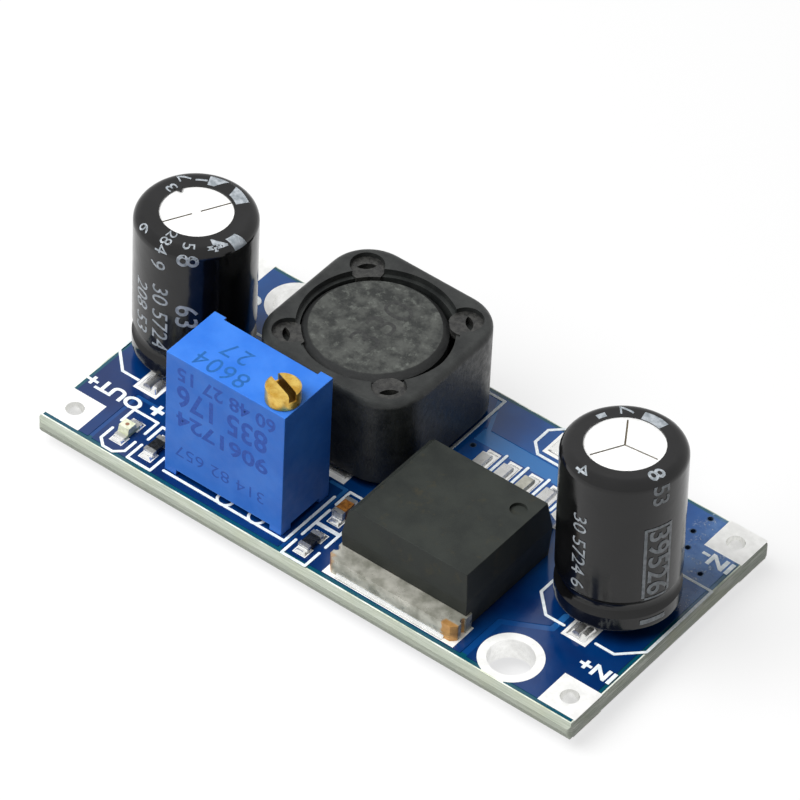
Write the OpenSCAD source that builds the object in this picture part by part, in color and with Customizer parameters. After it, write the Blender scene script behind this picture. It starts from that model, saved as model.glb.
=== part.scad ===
// Step-down (buck) converter module: a small circuit board that carries two
// electrolytic capacitors, a shielded power inductor, a five-lead regulator,
// a rectifier diode, an indicator light, three chip parts and a multi-turn
// trimmer whose brass screw drives a wiper carriage. All sizes in millimetres.
//
// Frame: X runs from the input end to the output end, Y towards the positive
// rail, Z up. The origin is the centre of the mounting hole pattern on the
// underside of the board.

/* [Board] */
// Length of the board along X
board_l = 43; // [41:0.5:50]
// Width of the board along Y
board_w = 21; // [20.5:0.25:26]
// Overall thickness of the board with its coatings
board_t = 1.6; // [1:0.1:2.4]
// How far the score line leaves the middle of the edge standing out
score_bulge = 0.18; // [0:0.02:0.3]
// Radius of the board's four corners
board_corner_r = 0.4; // [0.1:0.1:1]
// Thickness of the lacquer and copper layer on each side
coat_t = 0.08; // [0.05:0.01:0.15]
// Step between lacquer over copper and lacquer over bare laminate
pour_step = 0.04; // [0.02:0.01:0.05]
// Rim without copper along the board's edges
pour_inset = 0.35; // [0.2:0.05:0.6]
// Gap between neighbouring copper areas
pour_gap = 0.3; // [0.2:0.05:0.8]

/* [Mounting holes] */
// Distance between the two mounting holes along X
mount_dx = 30.2; // [29:0.1:32]
// Distance between the two mounting holes along Y
mount_dy = 16.5; // [15.5:0.1:17]
// Diameter of a mounting hole
mount_d = 3.1; // [2.5:0.1:3.3]
// Diameter of the bare metal land round a mounting hole
mount_land_d = 4.3; // [4:0.1:4.8]
// Distance from a land's flat to the board's long edge
mount_land_edge = 0.22; // [0.1:0.02:0.4]

/* [Terminals] */
// Side of a square terminal pad
term_pad = 2.88; // [2.4:0.1:3.2]
// Distance from a terminal pad to the board's short edge
term_edge_x = 0.14; // [0.1:0.02:0.4]
// Distance from a positive terminal pad to the board's long edge
term_edge_plus = 0.48; // [0.1:0.02:0.8]
// Distance from a negative terminal pad to the board's long edge
term_edge_minus = 0.12; // [0.1:0.02:0.4]
// Diameter of the plated hole in a terminal pad
term_d = 1.25; // [1:0.05:1.6]
// Thickness of the plating in holes and on pads
plating_t = 0.06; // [0.04:0.01:0.1]

/* [Vias] */
// Diameter of a via hole
via_d = 0.35; // [0.3:0.05:0.5]

/* [Printed lines] */
// Width of the printed outline strokes
silk_w = 0.2; // [0.12:0.01:0.3]
// Thickness of the printed ink
silk_t = 0.03; // [0.02:0.01:0.05]
// Gap between a printed outline and the part it surrounds
silk_gap = 0.3; // [0.1:0.05:0.5]

/* [Regulator] */
// Distance from the regulator's middle to the middle of the mounting pattern
reg_x = 6.6; // [6:0.1:7]
// Width of the moulded body at its widest
reg_w = 9.9; // [9.6:0.1:10.4]
// Depth of the moulded body at its widest
reg_d = 8.9; // [8:0.1:9.2]
// Height of the moulded body
reg_h = 4.55; // [4.2:0.05:5]
// Height of the widest line of the body above its underside
reg_part_line = 2.4; // [2:0.1:3]
// How far the walls lean in from the widest line to the top
reg_draft = 0.3; // [0.1:0.05:0.5]
// Width of the bevel along the top edge on the output side
reg_bevel = 0.35; // [0.1:0.05:0.6]
// Diameter of the round mark beside the first lead
reg_dimple_d = 1.15; // [1:0.05:2]
// Depth of the round mark
reg_dimple_depth = 0.24; // [0.05:0.01:0.3]
// Width of the metal tab
tab_w = 10.1; // [9.8:0.1:10.4]
// Thickness of the metal tab
tab_t = 1.27; // [1:0.05:1.4]
// Length of the tab that stands out of the body
tab_reach = 1.3; // [1:0.1:2]
// Distance from the tab's front edge to the board's long edge
tab_edge = 0.87; // [0.6:0.05:1.2]
// Distance between neighbouring leads
lead_pitch = 1.7; // [1.5:0.05:1.8]
// Width of a lead
lead_w = 0.7; // [0.6:0.02:0.9]
// Thickness of a lead
lead_t = 0.46; // [0.38:0.02:0.6]
// Distance from the body to the tip of a lead
lead_reach = 4.4; // [4:0.1:5]
// Length of the flat foot at the end of a lead
lead_foot = 2.4; // [1.8:0.1:2.6]
// Length of a lead's level stretch beside the body
lead_shoulder = 0.8; // [0.5:0.05:1]

/* [Inductor] */
// Side of the square magnetic shield
ind_w = 12.24; // [11.6:0.1:12.6]
// Height of the shield above the board
ind_h = 7.5; // [6:0.1:8]
// Radius of the shield's upright corners
ind_corner_r = 3; // [2:0.1:3.4]
// Radius of the shield's top edge
ind_edge_r = 0.45; // [0.2:0.05:0.8]
// Diameter of the shield's round opening
ind_bore_d = 10.0; // [9.6:0.1:10.2]
// Diameter of the drum core's flanges
drum_d = 9.5; // [9:0.1:9.6]
// Diameter of the flat on the upper flange, inside its bevel
drum_face_d = 8.65; // [8:0.05:9]
// Depth of the bevel round the upper flange
drum_bevel = 0.4; // [0.2:0.05:0.8]
// How far the drum sits off the middle of the opening, towards the output
drum_off = 0.2; // [0:0.05:0.2]
// Thickness of a drum flange
drum_flange_t = 1.3; // [1:0.1:1.8]
// Diameter of the drum's waist
drum_waist_d = 4.6; // [4:0.1:6]
// How far the drum lies below the shield's top
drum_sink = 0.3; // [0.1:0.05:0.6]
// How far the winding stays inside the flanges
winding_inset = 0.25; // [0.1:0.05:0.8]
// Depth of the step round the opening
ind_step = 0.45; // [0.2:0.05:0.8]
// Width of the step round the opening
ind_step_w = 0.28; // [0.15:0.01:0.35]
// Radius of the four glue pockets
pocket_r = 1.15; // [0.9:0.05:1.3]
// Depth of the glue pockets
pocket_depth = 0.9; // [0.6:0.05:1.5]
// Thickness of the base plate under the inductor
ind_base_t = 0.6; // [0.4:0.05:0.9]
// Width of an inductor terminal
ind_term_w = 5; // [4:0.1:6]
// Thickness of an inductor terminal
ind_term_t = 0.2; // [0.15:0.01:0.3]
// Gap between the inductor and the regulator's tab
ind_gap_reg = 0.55; // [0.4:0.05:1]
// Gap between the inductor and the trimmer
ind_gap_trim = 1.92; // [1.6:0.1:2.2]

/* [Trimmer] */
// Length of the trimmer's housing along X
trim_l = 9.53; // [9.2:0.05:10]
// Thickness of the housing along Y
trim_t = 4.83; // [4.6:0.05:5]
// Height of the housing above its feet
trim_h = 9.85; // [9:0.05:10.5]
// Height of the housing's feet
trim_foot = 0.45; // [0.3:0.05:0.8]
// Distance from the housing's front to the board's long edge
trim_edge = 1.37; // [1.3:0.05:1.6]
// Gap between the trimmer and the feedback resistor's middle
trim_gap_fb = 1.85; // [1.6:0.05:2.2]
// Thickness of the housing's side walls
trim_wall = 0.45; // [0.35:0.05:0.5]
// Thickness of the housing's top wall
trim_top_t = 1.4; // [1.2:0.05:1.8]
// Depth of the recess between the two ears at the back
trim_ear = 0.33; // [0.2:0.01:0.4]
// Width of an ear at the back
trim_ear_w = 0.95; // [0.6:0.05:1.4]
// Thickness of the sealing plug in the housing's open bottom
trim_plug_t = 1.3; // [1:0.05:1.6]
// Thickness of the ceramic resistance element
element_t = 0.6; // [0.5:0.02:0.65]
// Distance between neighbouring trimmer pins
pin_pitch = 2.54; // [2.5:0.01:2.6]
// Diameter of a trimmer pin
pin_d = 0.5; // [0.4:0.02:0.6]
// How far the pins and their solder stand below the board
pin_below = 0.9; // [0.6:0.05:1.5]
// Diameter of the solder land round a pin
pin_land_d = 1.7; // [1.4:0.05:2]

/* [Trimmer screw] */
// Distance from the screw's axis to the housing's end and front
screw_inset_end = 1.22; // [1.18:0.01:1.3]
// Distance from the screw's axis to the housing's front
screw_inset_front = 1.32; // [1.28:0.01:1.5]
// Diameter of the screw's head
screw_head_d = 2.32; // [2.1:0.02:2.34]
// Height of the screw's head
screw_head_h = 1.25; // [1.1:0.05:1.6]
// Width of the driver slot
slot_w = 0.56; // [0.4:0.02:0.7]
// Depth of the driver slot
slot_depth = 0.7; // [0.5:0.05:0.9]
// Angle of the driver slot about the screw's axis
slot_angle = -20; // [-90:1:90]
// Diameter of the screw's threaded shank
screw_d = 1.2; // [1:0.02:1.3]
// Running clearance round the screw
run_gap = 0.05; // [0.03:0.01:0.08]
// Gap between sliding and still pieces inside the trimmer
slide_gap = 0.1; // [0.05:0.01:0.15]
// Height of the wiper carriage
carriage_h = 1.8; // [1.4:0.1:2]
// Length of the wiper carriage
carriage_l = 3.4; // [3:0.1:4]

/* [Capacitors] */
// Diameter of a capacitor with its sleeve
cap_d = 8.1; // [7.8:0.02:8.3]
// Height of the input capacitor from its sleeve's lower edge
in_cap_h = 12.1; // [11:0.1:14]
// Height of the output capacitor from its sleeve's lower edge
out_cap_h = 11.45; // [10:0.05:13]
// How far the input capacitor leans from upright
in_cap_lean = 3.7; // [0:0.1:4]
// Direction in which the input capacitor leans, from +X
in_cap_lean_to = -36; // [-180:1:180]
// Thickness of the shrunk sleeve
sleeve_t = 0.12; // [0.08:0.01:0.2]
// Radius of the can's top edge
can_edge_r = 0.7; // [0.5:0.05:1]
// Radius of the can's lower edge
can_foot_r = 0.3; // [0.2:0.02:0.36]
// Diameter of the opening in the input capacitor's sleeve
in_vent_d = 5.2; // [4.6:0.05:5.8]
// Diameter of the opening in the output capacitor's sleeve
out_vent_d = 4.82; // [4.4:0.05:5.8]
// Height of the bead groove above the can's lower end
groove_z = 1.85; // [1.6:0.05:3]
// Depth of the bead groove
groove_depth = 0.36; // [0.2:0.02:0.5]
// Diameter of the round section of the bead groove
groove_w = 1.7; // [1:0.05:2]
// Width of the scored lines in the can's top
score_w = 0.12; // [0.08:0.01:0.2]
// Depth of the scored lines in the can's top
score_depth = 0.08; // [0.05:0.01:0.12]
// Thickness of the rubber seal that shows below the can
bung_drop = 0.1; // [0.1:0.05:0.4]
// Distance between a capacitor's two leads
cap_pitch = 3.5; // [3:0.1:4]
// Diameter of a capacitor lead
cap_lead_d = 0.6; // [0.5:0.02:0.65]
// Gap between the input capacitor and the regulator's tab
in_cap_gap = 1.45; // [1:0.05:1.6]
// Gap between the output capacitor and the inductor
out_cap_gap = 2.15; // [2:0.05:2.4]
// Distance from the input capacitor's foot to the board's middle line
in_cap_off = 0; // [0:0.05:0.5]
// Distance from the output capacitor's axis to the board's middle line
out_cap_off = 0.45; // [0:0.05:0.6]
// Distance from the capacitors' solder pads' middle to the board's middle line
cap_pads_off = 0.3; // [0:0.05:0.5]
// Width of a capacitor's solder pad
cap_pad_w = 1.9; // [1.6:0.1:2.2]
// Distance from the pads' middle to their outer ends
cap_pad_reach = 4.9; // [4.8:0.05:5.2]

/* [Diode] */
// Length of the diode's body
diode_l = 4.3; // [4:0.1:4.6]
// Width of the diode's body
diode_w = 2.6; // [2.4:0.1:2.8]
// Height of the diode's body
diode_h = 2.1; // [1.9:0.05:2.4]
// Distance from the diode's middle to the board's long edge
diode_edge = 1.75; // [1.6:0.05:1.9]
// Distance from the diode's middle to the regulator's middle along X
diode_dx = 2.5; // [2.2:0.1:2.8]
// Thickness of the diode's leads
diode_lead_t = 0.22; // [0.15:0.01:0.3]
// Width of the diode's leads
diode_lead_w = 1.5; // [1.3:0.05:1.7]

/* [Chip parts] */
// Length of a chip part
chip_l = 1.6; // [1.5:0.05:1.8]
// Width of a chip part
chip_w = 0.82; // [0.75:0.01:0.95]
// Height of a chip resistor
chip_res_h = 0.45; // [0.4:0.01:0.6]
// Height of a chip capacitor
chip_cap_h = 0.8; // [0.7:0.01:0.9]
// Length of a chip part's metal end
chip_end = 0.32; // [0.25:0.01:0.4]
// Thickness of a chip part's metal end
chip_end_t = 0.03; // [0.02:0.01:0.05]
// Gap between the regulator's tab and the middle of the feedback resistor
fb_gap_reg = 2.2; // [2:0.05:2.5]
// Distance from the feedback resistor's middle to the board's long edge
fb_edge = 2.05; // [1.9:0.05:2.2]
// Distance between the middles of feedback resistor and chip capacitor
chip_cap_dy = 3.45; // [3.3:0.05:3.7]
// Distance from the indicator light's middle to the board's long edge
led_edge = 2.4; // [2.2:0.05:2.6]
// Gap between the trimmer and the middle of the light's resistor
led_res_gap = 1.52; // [1.4:0.02:1.7]
// Distance between the middles of the light and its resistor
led_pitch = 2.4; // [2.2:0.05:2.6]
// Thickness of the light's carrier plate
led_base_t = 0.25; // [0.2:0.01:0.35]
// Height of the light above its pads
led_h = 0.72; // [0.6:0.02:0.9]

/* [Hidden] */
$fn = 48;

CUT = 0.5;                        // how far a cutter reaches past a face
pad_top = 0.02;                   // how far a solder pad stands above the lacquer
pad_z = board_t + pad_top;        // level on which the surface parts sit
half_l = board_l / 2;
half_w = board_w / 2;
mask_trim = 0.1;                  // lacquer stops this far from the board's edge

// Places of the parts, chained from the regulator outwards
reg_cx = -reg_x;
reg_out_x = reg_cx + tab_w / 2;
reg_in_x = reg_cx - tab_w / 2;
tab_front_y = half_w - tab_edge;
reg_front_y = tab_front_y - tab_reach;
reg_back_y = reg_front_y - reg_d;
fb_x = reg_out_x + fb_gap_reg;
fb_y = half_w - fb_edge;
chip_cap_y = fb_y - chip_cap_dy;
trim_x0 = fb_x + trim_gap_fb;
trim_x1 = trim_x0 + trim_l;
trim_y1 = half_w - trim_edge;
trim_y0 = trim_y1 - trim_t;
ind_cx = reg_out_x + ind_gap_reg + ind_w / 2;
ind_cy = trim_y0 - ind_gap_trim - ind_w / 2;
cap_r = cap_d / 2;
out_cap_x = ind_cx + ind_w / 2 + out_cap_gap + cap_r;
in_cap_x = reg_in_x - in_cap_gap - cap_r;
led_res_x = trim_x1 + led_res_gap;
led_x = led_res_x + led_pitch;
led_y = half_w - led_edge;
diode_x = reg_cx - diode_dx;
diode_y = diode_edge - half_w;
term_x = half_l - term_edge_x - term_pad / 2;
term_plus_y = half_w - term_edge_plus - term_pad / 2;
term_minus_y = term_edge_minus + term_pad / 2 - half_w;

// ---------------------------------------------------------------- helpers

module place(x, y, z = 0, turn = 0) {
    translate([x, y, z]) rotate([0, 0, turn]) children();
}

// A block standing on z = 0, centred in X and Y
module block(size) {
    translate([-size[0] / 2, -size[1] / 2, 0]) cube(size);
}

// One straight printed or etched line. Its round ends stand a hair proud of its sides
module stroke_2d(from, to, w) {
    run = to - from;
    len = norm(run);
    translate(from) rotate(atan2(run[1], run[0])) translate([0, -w / 2]) square([len, w]);
    for (end = [from, to]) translate(end) circle(d = w * 1.02);
}

module path_2d(points, w) {
    for (i = [0 : len(points) - 2]) stroke_2d(points[i], points[i + 1], w);
}

module round_rect_2d(l, w, r) {
    square([l - 2 * r, w], center = true);
    square([l, w - 2 * r], center = true);
    for (sx = [-1, 1], sy = [-1, 1])
        translate([sx * (l / 2 - r), sy * (w / 2 - r)]) circle(r = r);
}

// A block with round upright corners and a rounded top edge
module soft_block(w, h, corner, edge) {
    module half_profile(reach) {
        square([reach, h - edge]);
        square([reach - edge, h]);
        translate([reach - edge, h - edge]) circle(r = edge);
    }
    side = w - 2 * corner;
    for (sx = [-1, 1], sy = [-1, 1])
        translate([sx * side / 2, sy * side / 2, 0])
            rotate_extrude() intersection() {
                half_profile(corner);
                square([corner, h]);
            }
    for (turn = [0, 90])
        rotate([90, 0, turn]) linear_extrude(side, center = true) {
            half_profile(w / 2);
            mirror([1, 0]) half_profile(w / 2);
        }
}

// A moulded body whose four walls lean in above and below its widest line
module drafted_body(l, w, h, line, draft, lower_draft) {
    module side_view(size) {
        polygon([
            [-size / 2 + lower_draft, 0], [size / 2 - lower_draft, 0],
            [size / 2, line], [size / 2 - draft, h],
            [-size / 2 + draft, h], [-size / 2, line]
        ]);
    }
    intersection() {
        rotate([90, 0, 0]) linear_extrude(w + 2 * CUT, center = true) side_view(l);
        rotate([90, 0, 90]) linear_extrude(l + 2 * CUT, center = true) side_view(w);
    }
}

// ---------------------------------------------------------------- board

mount_points = [[-mount_dx / 2, mount_dy / 2], [mount_dx / 2, -mount_dy / 2]];
term_points = [
    [-term_x, term_plus_y], [-term_x, term_minus_y],
    [term_x, term_plus_y], [term_x, term_minus_y]
];
trim_mid = [(trim_x0 + trim_x1) / 2, (trim_y0 + trim_y1) / 2];
pin_points = [for (i = [-1 : 1]) [trim_mid[0] + i * pin_pitch, trim_y0 + trim_t / 2]];
via_offsets = [[2.5, -0.7], [2.7, 0.9], [2.1, 2.3], [0.1, 3.7]];   // from the negative input pad
via_points = concat(
    [[reg_out_x - 0.2, -half_w / 2]],
    [for (v = via_offsets) [v[0] - term_x, v[1] + term_minus_y]]
);
hole_fill = plating_t;            // plating stands this far into a drilled hole

module drill_2d() {
    for (p = mount_points) translate(p) circle(d = mount_d + 2 * hole_fill);
    for (p = term_points) translate(p) circle(d = term_d + 2 * hole_fill);
    for (p = via_points) translate(p) circle(d = via_d + 2 * hole_fill);
    for (p = pin_points) translate(p) circle(d = pin_d + 2 * hole_fill);
}

module laminate() {
    inner_t = board_t - 2 * coat_t;
    module edge_view(size) {
        polygon([
            [-size / 2 + score_bulge, 0], [size / 2 - score_bulge, 0],
            [size / 2, inner_t * 0.35], [size / 2, inner_t * 0.65],
            [size / 2 - score_bulge, inner_t], [-size / 2 + score_bulge, inner_t],
            [-size / 2, inner_t * 0.65], [-size / 2, inner_t * 0.35]
        ]);
    }
    color("cornsilk") translate([0, 0, coat_t]) difference() {
        intersection() {
            rotate([90, 0, 0]) linear_extrude(board_w, center = true) edge_view(board_l);
            rotate([90, 0, 90]) linear_extrude(board_l, center = true) edge_view(board_w);
            linear_extrude(inner_t) round_rect_2d(board_l, board_w, board_corner_r);
        }
        translate([0, 0, -CUT]) linear_extrude(inner_t + 2 * CUT) drill_2d();
    }
}

module land_2d(p) {
    intersection() {
        translate(p) circle(d = mount_land_d);
        square([board_l, board_w - 2 * mount_land_edge], center = true);
    }
}

module pads_2d() {
    cap_pad_l = 2.1;
    for (x = [in_cap_x, out_cap_x], s = [-1, 1])
        translate([x, s * (cap_pad_reach - cap_pad_l / 2) - cap_pads_off])
            square([cap_pad_w, cap_pad_l], center = true);
    // regulator: one large pad and five small ones
    tab_pad_y = tab_front_y + 0.3;
    translate([reg_cx - tab_w / 2 - 0.15, tab_pad_y - 2.2]) square([tab_w + 0.3, 2.2]);
    translate([reg_cx - reg_w / 2 + 0.5, tab_pad_y - 7.6]) square([reg_w - 1, 7.6]);
    for (i = [-2 : 2])
        translate([reg_cx + i * lead_pitch - 0.1, reg_back_y - lead_reach + lead_foot / 2 - 0.3])
            square([lead_w + 0.25, lead_foot + 0.7], center = true);
    // inductor terminals
    for (s = [-1, 1])
        translate([ind_cx, ind_cy + s * (ind_w / 2 - 0.2)]) square([ind_term_w + 0.5, 1.5], center = true);
    // diode
    for (s = [-1, 1])
        translate([diode_x + s * (diode_l / 2 + 0.4), diode_y])
            square([2.1, diode_lead_w + 0.7], center = true);
    // chip parts
    for (c = [[fb_x, fb_y], [fb_x, chip_cap_y], [led_res_x, led_y], [led_x, led_y]], s = [-1, 1])
        translate([c[0], c[1] + s * chip_l / 2]) square([chip_w + 0.2, 0.9], center = true);
}

module openings_2d() {
    for (p = mount_points) land_2d(p);
    for (p = term_points) translate(p) square(term_pad, center = true);
    pads_2d();
}

// Lines along which the copper is etched away
module etched_2d() {
    rail_y = -half_w + 3.45;
    bare_w = 1.3;
    light_x = led_x + 1.6;
    branch_y = 5.1;
    field_x = in_cap_x + cap_r - 2.45;
    strip_x = fb_x + 1.3;
    strip_y = trim_y0 - 1.1;
    // bare field between the regulator's leads and the copper along the edge
    translate([reg_in_x - 2.5, rail_y]) square([tab_w + 2.63, bare_w]);
    path_2d([[reg_out_x - 0.4, rail_y + bare_w / 2], [reg_out_x + 1.2, -half_w + pour_inset]], pour_gap);
    // round the light and its resistor
    path_2d([[light_x, half_w], [light_x, branch_y], [led_res_x, branch_y]], pour_gap);
    // between the input capacitor and the tab's copper
    path_2d([[reg_in_x - 1, half_w - pour_inset], [reg_in_x - 1, branch_y + 1.1],
             [field_x, branch_y - 0.5], [field_x, branch_y - 1.9]], pour_gap * 1.6);
    // round the feedback resistor
    path_2d([[strip_x, half_w - pour_inset], [strip_x, strip_y], [ind_cx - 2, strip_y]], pour_gap);
}

module coat_2d() {
    rim = score_bulge + mask_trim;
    square([board_l - 2 * rim, board_w - 2 * rim], center = true);
}

module mask_top() {
    color([0.05, 0.16, 0.38]) translate([0, 0, board_t - coat_t]) difference() {
        linear_extrude(coat_t) difference() {
            coat_2d();
            openings_2d();
            drill_2d();
        }
        translate([0, 0, coat_t - pour_step]) linear_extrude(CUT) difference() {
            square([board_l, board_w], center = true);
            square([board_l - 2 * pour_inset - 2 * score_bulge, board_w - 2 * pour_inset - 2 * score_bulge],
                   center = true);
        }
        translate([0, 0, coat_t - pour_step]) linear_extrude(CUT) etched_2d();
    }
}

module mask_bottom() {
    color([0.05, 0.16, 0.38]) linear_extrude(coat_t) difference() {
        coat_2d();
        drill_2d();
        for (p = mount_points) land_2d(p);
        for (p = term_points) translate(p) square(term_pad, center = true);
        for (p = pin_points) translate(p) circle(d = pin_land_d);
    }
}

module plated_hole(p, d) {
    translate([p[0], p[1], 0]) difference() {
        cylinder(h = board_t, d = d + 2 * plating_t);
        translate([0, 0, -CUT]) cylinder(h = board_t + 2 * CUT, d = d);
    }
}

module terminal(p) {
    color("silver") {
        plated_hole(p, term_d);
        for (z = [0, board_t - coat_t])
            translate([p[0], p[1], z]) linear_extrude(coat_t) difference() {
                square(term_pad, center = true);
                circle(d = term_d + plating_t);
            }
    }
}

module terminal_in_plus() { terminal(term_points[0]); }
module terminal_in_minus() { terminal(term_points[1]); }
module terminal_out_plus() { terminal(term_points[2]); }
module terminal_out_minus() { terminal(term_points[3]); }

module mounting_lands() {
    color("silver") for (p = mount_points) {
        plated_hole(p, mount_d);
        for (z = [0, board_t - coat_t])
            translate([0, 0, z]) linear_extrude(coat_t) difference() {
                land_2d(p);
                translate(p) circle(d = mount_d + plating_t);
            }
    }
}

module solder_pads() {
    color("silver") {
        translate([0, 0, board_t - coat_t]) linear_extrude(coat_t + pad_top) pads_2d();
        for (p = pin_points) {
            plated_hole(p, pin_d);
            translate([p[0], p[1], 0]) linear_extrude(coat_t) difference() {
                circle(d = pin_land_d);
                circle(d = pin_d + plating_t);
            }
        }
    }
}

module vias() {
    color("darkslategray") for (p = via_points) plated_hole(p, via_d);
}

// ---------------------------------------------------------------- printed outlines

module cap_outline_2d(c) {
    reach = cap_r + 0.07;
    cut = 1.45;
    gap = cap_pad_w / 2 + silk_gap;
    plus_y = reach + 0.1;
    for (s = [-1, 1]) {
        translate(c) path_2d([[s * gap, plus_y], [s * (reach - cut), plus_y],
                              [s * reach, plus_y - cut], [s * reach, -reach], [s * gap, -reach]], silk_w);
    }
}

// Brackets round the two ends of a chip part that lies along Y
module chip_outline_2d(c) {
    half = chip_w / 2 + 0.53;
    reach = chip_l / 2 + 0.98;
    arm = 1.45;
    for (s = [-1, 1])
        translate(c) path_2d([[-half, s * (reach - arm)], [-half, s * reach],
                              [half, s * reach], [half, s * (reach - arm)]], silk_w);
}

module silkscreen_2d() {
    cap_outline_2d([in_cap_x - 0.05, -cap_pads_off]);
    cap_outline_2d([out_cap_x - 0.3, -cap_pads_off]);
    // trimmer: a box that stands out in front and at the input side
    trim_out = 0.2;
    path_2d([[trim_x0 - trim_out * 2, trim_y0 - 0.1], [trim_x0 - trim_out * 2, trim_y1 + trim_out],
             [trim_x1 - 0.1, trim_y1 + trim_out]], silk_w);
    // light: a box with two cut corners at its negative end
    led_half = 0.98;
    path_2d([[led_x - led_half, led_y - 0.6], [led_x - led_half, led_y - 1.9],
             [led_x + led_half, led_y - 1.9], [led_x + led_half, led_y - 0.6]], silk_w);
    path_2d([[led_x - led_half, led_y + 0.4], [led_x - led_half, led_y + 1.45], [led_x - 0.4, led_y + 1.97],
             [led_x + 0.4, led_y + 1.97], [led_x + led_half, led_y + 1.45], [led_x + led_half, led_y + 0.3]],
            silk_w);
    chip_outline_2d([led_res_x, led_y]);
    chip_outline_2d([fb_x, fb_y]);
    chip_outline_2d([fb_x, chip_cap_y]);
    // inductor corner
    ind_x = ind_cx - ind_w / 2;
    ind_y = ind_cy - ind_w / 2;
    path_2d([[ind_x + 0.1, ind_cy], [ind_x + 0.1, ind_y + 0.1], [ind_x + 1.5, ind_y + 0.1]], silk_w);
    // bars between the regulator's leads
    for (i = [-2 : 1])
        stroke_2d([reg_cx + (i + 0.5) * lead_pitch, reg_back_y - 3.1],
                  [reg_cx + (i + 0.5) * lead_pitch, reg_back_y - lead_reach - 0.85], silk_w);
    stroke_2d([reg_out_x - 0.6, reg_back_y - 3.1], [reg_out_x + 0.3, reg_back_y - 3.1], silk_w);
    // rings that peep out in front of the trimmer, in line with two of its pins
    ring_d = 1.3;
    for (i = [0, 1]) translate([pin_points[i][0], trim_y1 - ring_d / 4]) difference() {
        circle(d = ring_d);
        circle(d = ring_d - 2 * silk_w);
    }
    // diode: a box with cut corners at its negative end
    d_half = diode_w / 2 + 0.2;
    d_reach = diode_l / 2 + 2.3;
    d_cut = 0.8;
    path_2d([[diode_x, diode_y + d_half], [diode_x + d_reach - d_cut, diode_y + d_half],
             [diode_x + d_reach, diode_y + d_half - d_cut], [diode_x + d_reach, diode_y - d_half + d_cut],
             [diode_x + d_reach - d_cut, diode_y - d_half]], silk_w);
}

module silkscreen() {
    color("white") translate([0, 0, board_t]) linear_extrude(silk_t) difference() {
        silkscreen_2d();
        offset_pads_2d();
    }
}

// The pads with a little room round them, where no ink may lie
module offset_pads_2d() {
    room = 0.04;
    for (sx = [-1, 1], sy = [-1, 1]) translate([sx * room, sy * room]) pads_2d();
    for (p = mount_points) land_2d(p);
    drill_2d();
}

// ---------------------------------------------------------------- regulator

module at_regulator() {
    place(reg_cx, reg_front_y - reg_d / 2, pad_z) children();
}

module tab_solid() {
    hidden = 6.0;
    notch = 0.5;
    nose = 0.35;
    front = reg_d / 2 + tab_reach;
    linear_extrude(tab_t) difference() {
        polygon([
            [-tab_w / 2, front - nose], [-tab_w / 2 + nose, front],
            [tab_w / 2 - nose, front], [tab_w / 2, front - nose],
            [tab_w / 2, reg_d / 2 - notch], [tab_w / 2 - 1, reg_d / 2 - notch - 0.6],
            [tab_w / 2 - 1, reg_d / 2 - hidden], [-tab_w / 2 + 1, reg_d / 2 - hidden],
            [-tab_w / 2 + 1, reg_d / 2 - notch - 0.6], [-tab_w / 2, reg_d / 2 - notch]
        ]);
        for (s = [-1, 1]) translate([s * tab_w / 2, reg_d / 2 + 0.35]) circle(d = 0.5);
    }
}

// A gull-wing lead seen from its side: X away from the body, Y up
module lead_profile() {
    path_2d([[-1.2, reg_part_line], [lead_shoulder, reg_part_line],
             [lead_reach - lead_foot, lead_t / 2], [lead_reach - lead_t / 2, lead_t / 2]], lead_t);
}

module lead(i) {
    translate([i * lead_pitch, -reg_d / 2, 0]) rotate([90, 0, -90])
        linear_extrude(lead_w, center = true) lead_profile();
}

// Joins the middle lead to the tab inside the body
module tab_neck() {
    neck = 2.4;
    translate([-lead_w / 2, -reg_d / 2 + 0.6, tab_t]) cube([lead_w, neck, reg_part_line - tab_t]);
}

module regulator_body() {
    color([0.2, 0.2, 0.21]) at_regulator() difference() {
        drafted_body(reg_w, reg_d, reg_h, reg_part_line, reg_draft, 0.12);
        tab_solid();
        translate([reg_w / 2 - reg_draft, 0, reg_h]) rotate([0, 45, 0])
            cube([reg_bevel * 1.414, reg_d + 2 * CUT, reg_bevel * 1.414], center = true);
        translate([-reg_w / 2 + 1.4, -reg_d / 2 + 1.9, reg_h - reg_dimple_depth])
            cylinder(h = CUT, d = reg_dimple_d);
        tab_neck();
        for (i = [-2 : 2]) lead(i);
    }
}

module regulator_tab() {
    color("silver") at_regulator() {
        tab_solid();
        tab_neck();
        lead(0);
    }
}

module regulator_leads() {
    color("silver") at_regulator() for (i = [-2, -1, 1, 2]) lead(i);
}

// ---------------------------------------------------------------- inductor

module at_inductor() {
    place(ind_cx, ind_cy, pad_z) children();
}

pocket_at = ind_w / 2 - pocket_r - 0.95;
shield_z = ind_base_t;
shield_h = ind_h - pad_top - ind_base_t;

module pockets_2d(r) {
    for (sx = [-1, 1], sy = [-1, 1]) translate([sx * pocket_at, sy * pocket_at]) circle(r = r);
}

module inductor_shield() {
    color([0.22, 0.22, 0.22]) at_inductor() translate([0, 0, shield_z]) difference() {
        soft_block(ind_w, shield_h, ind_corner_r, ind_edge_r);
        translate([0, 0, -CUT]) cylinder(h = shield_h + 2 * CUT, d = ind_bore_d);
        translate([0, 0, shield_h - ind_step]) cylinder(h = ind_step + CUT, d = ind_bore_d + 2 * ind_step_w);
        translate([0, 0, shield_h - pocket_depth]) linear_extrude(pocket_depth + CUT) pockets_2d(pocket_r);
    }
}

module at_drum() {
    at_inductor() translate([drum_off, 0, 0]) children();
}

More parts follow.
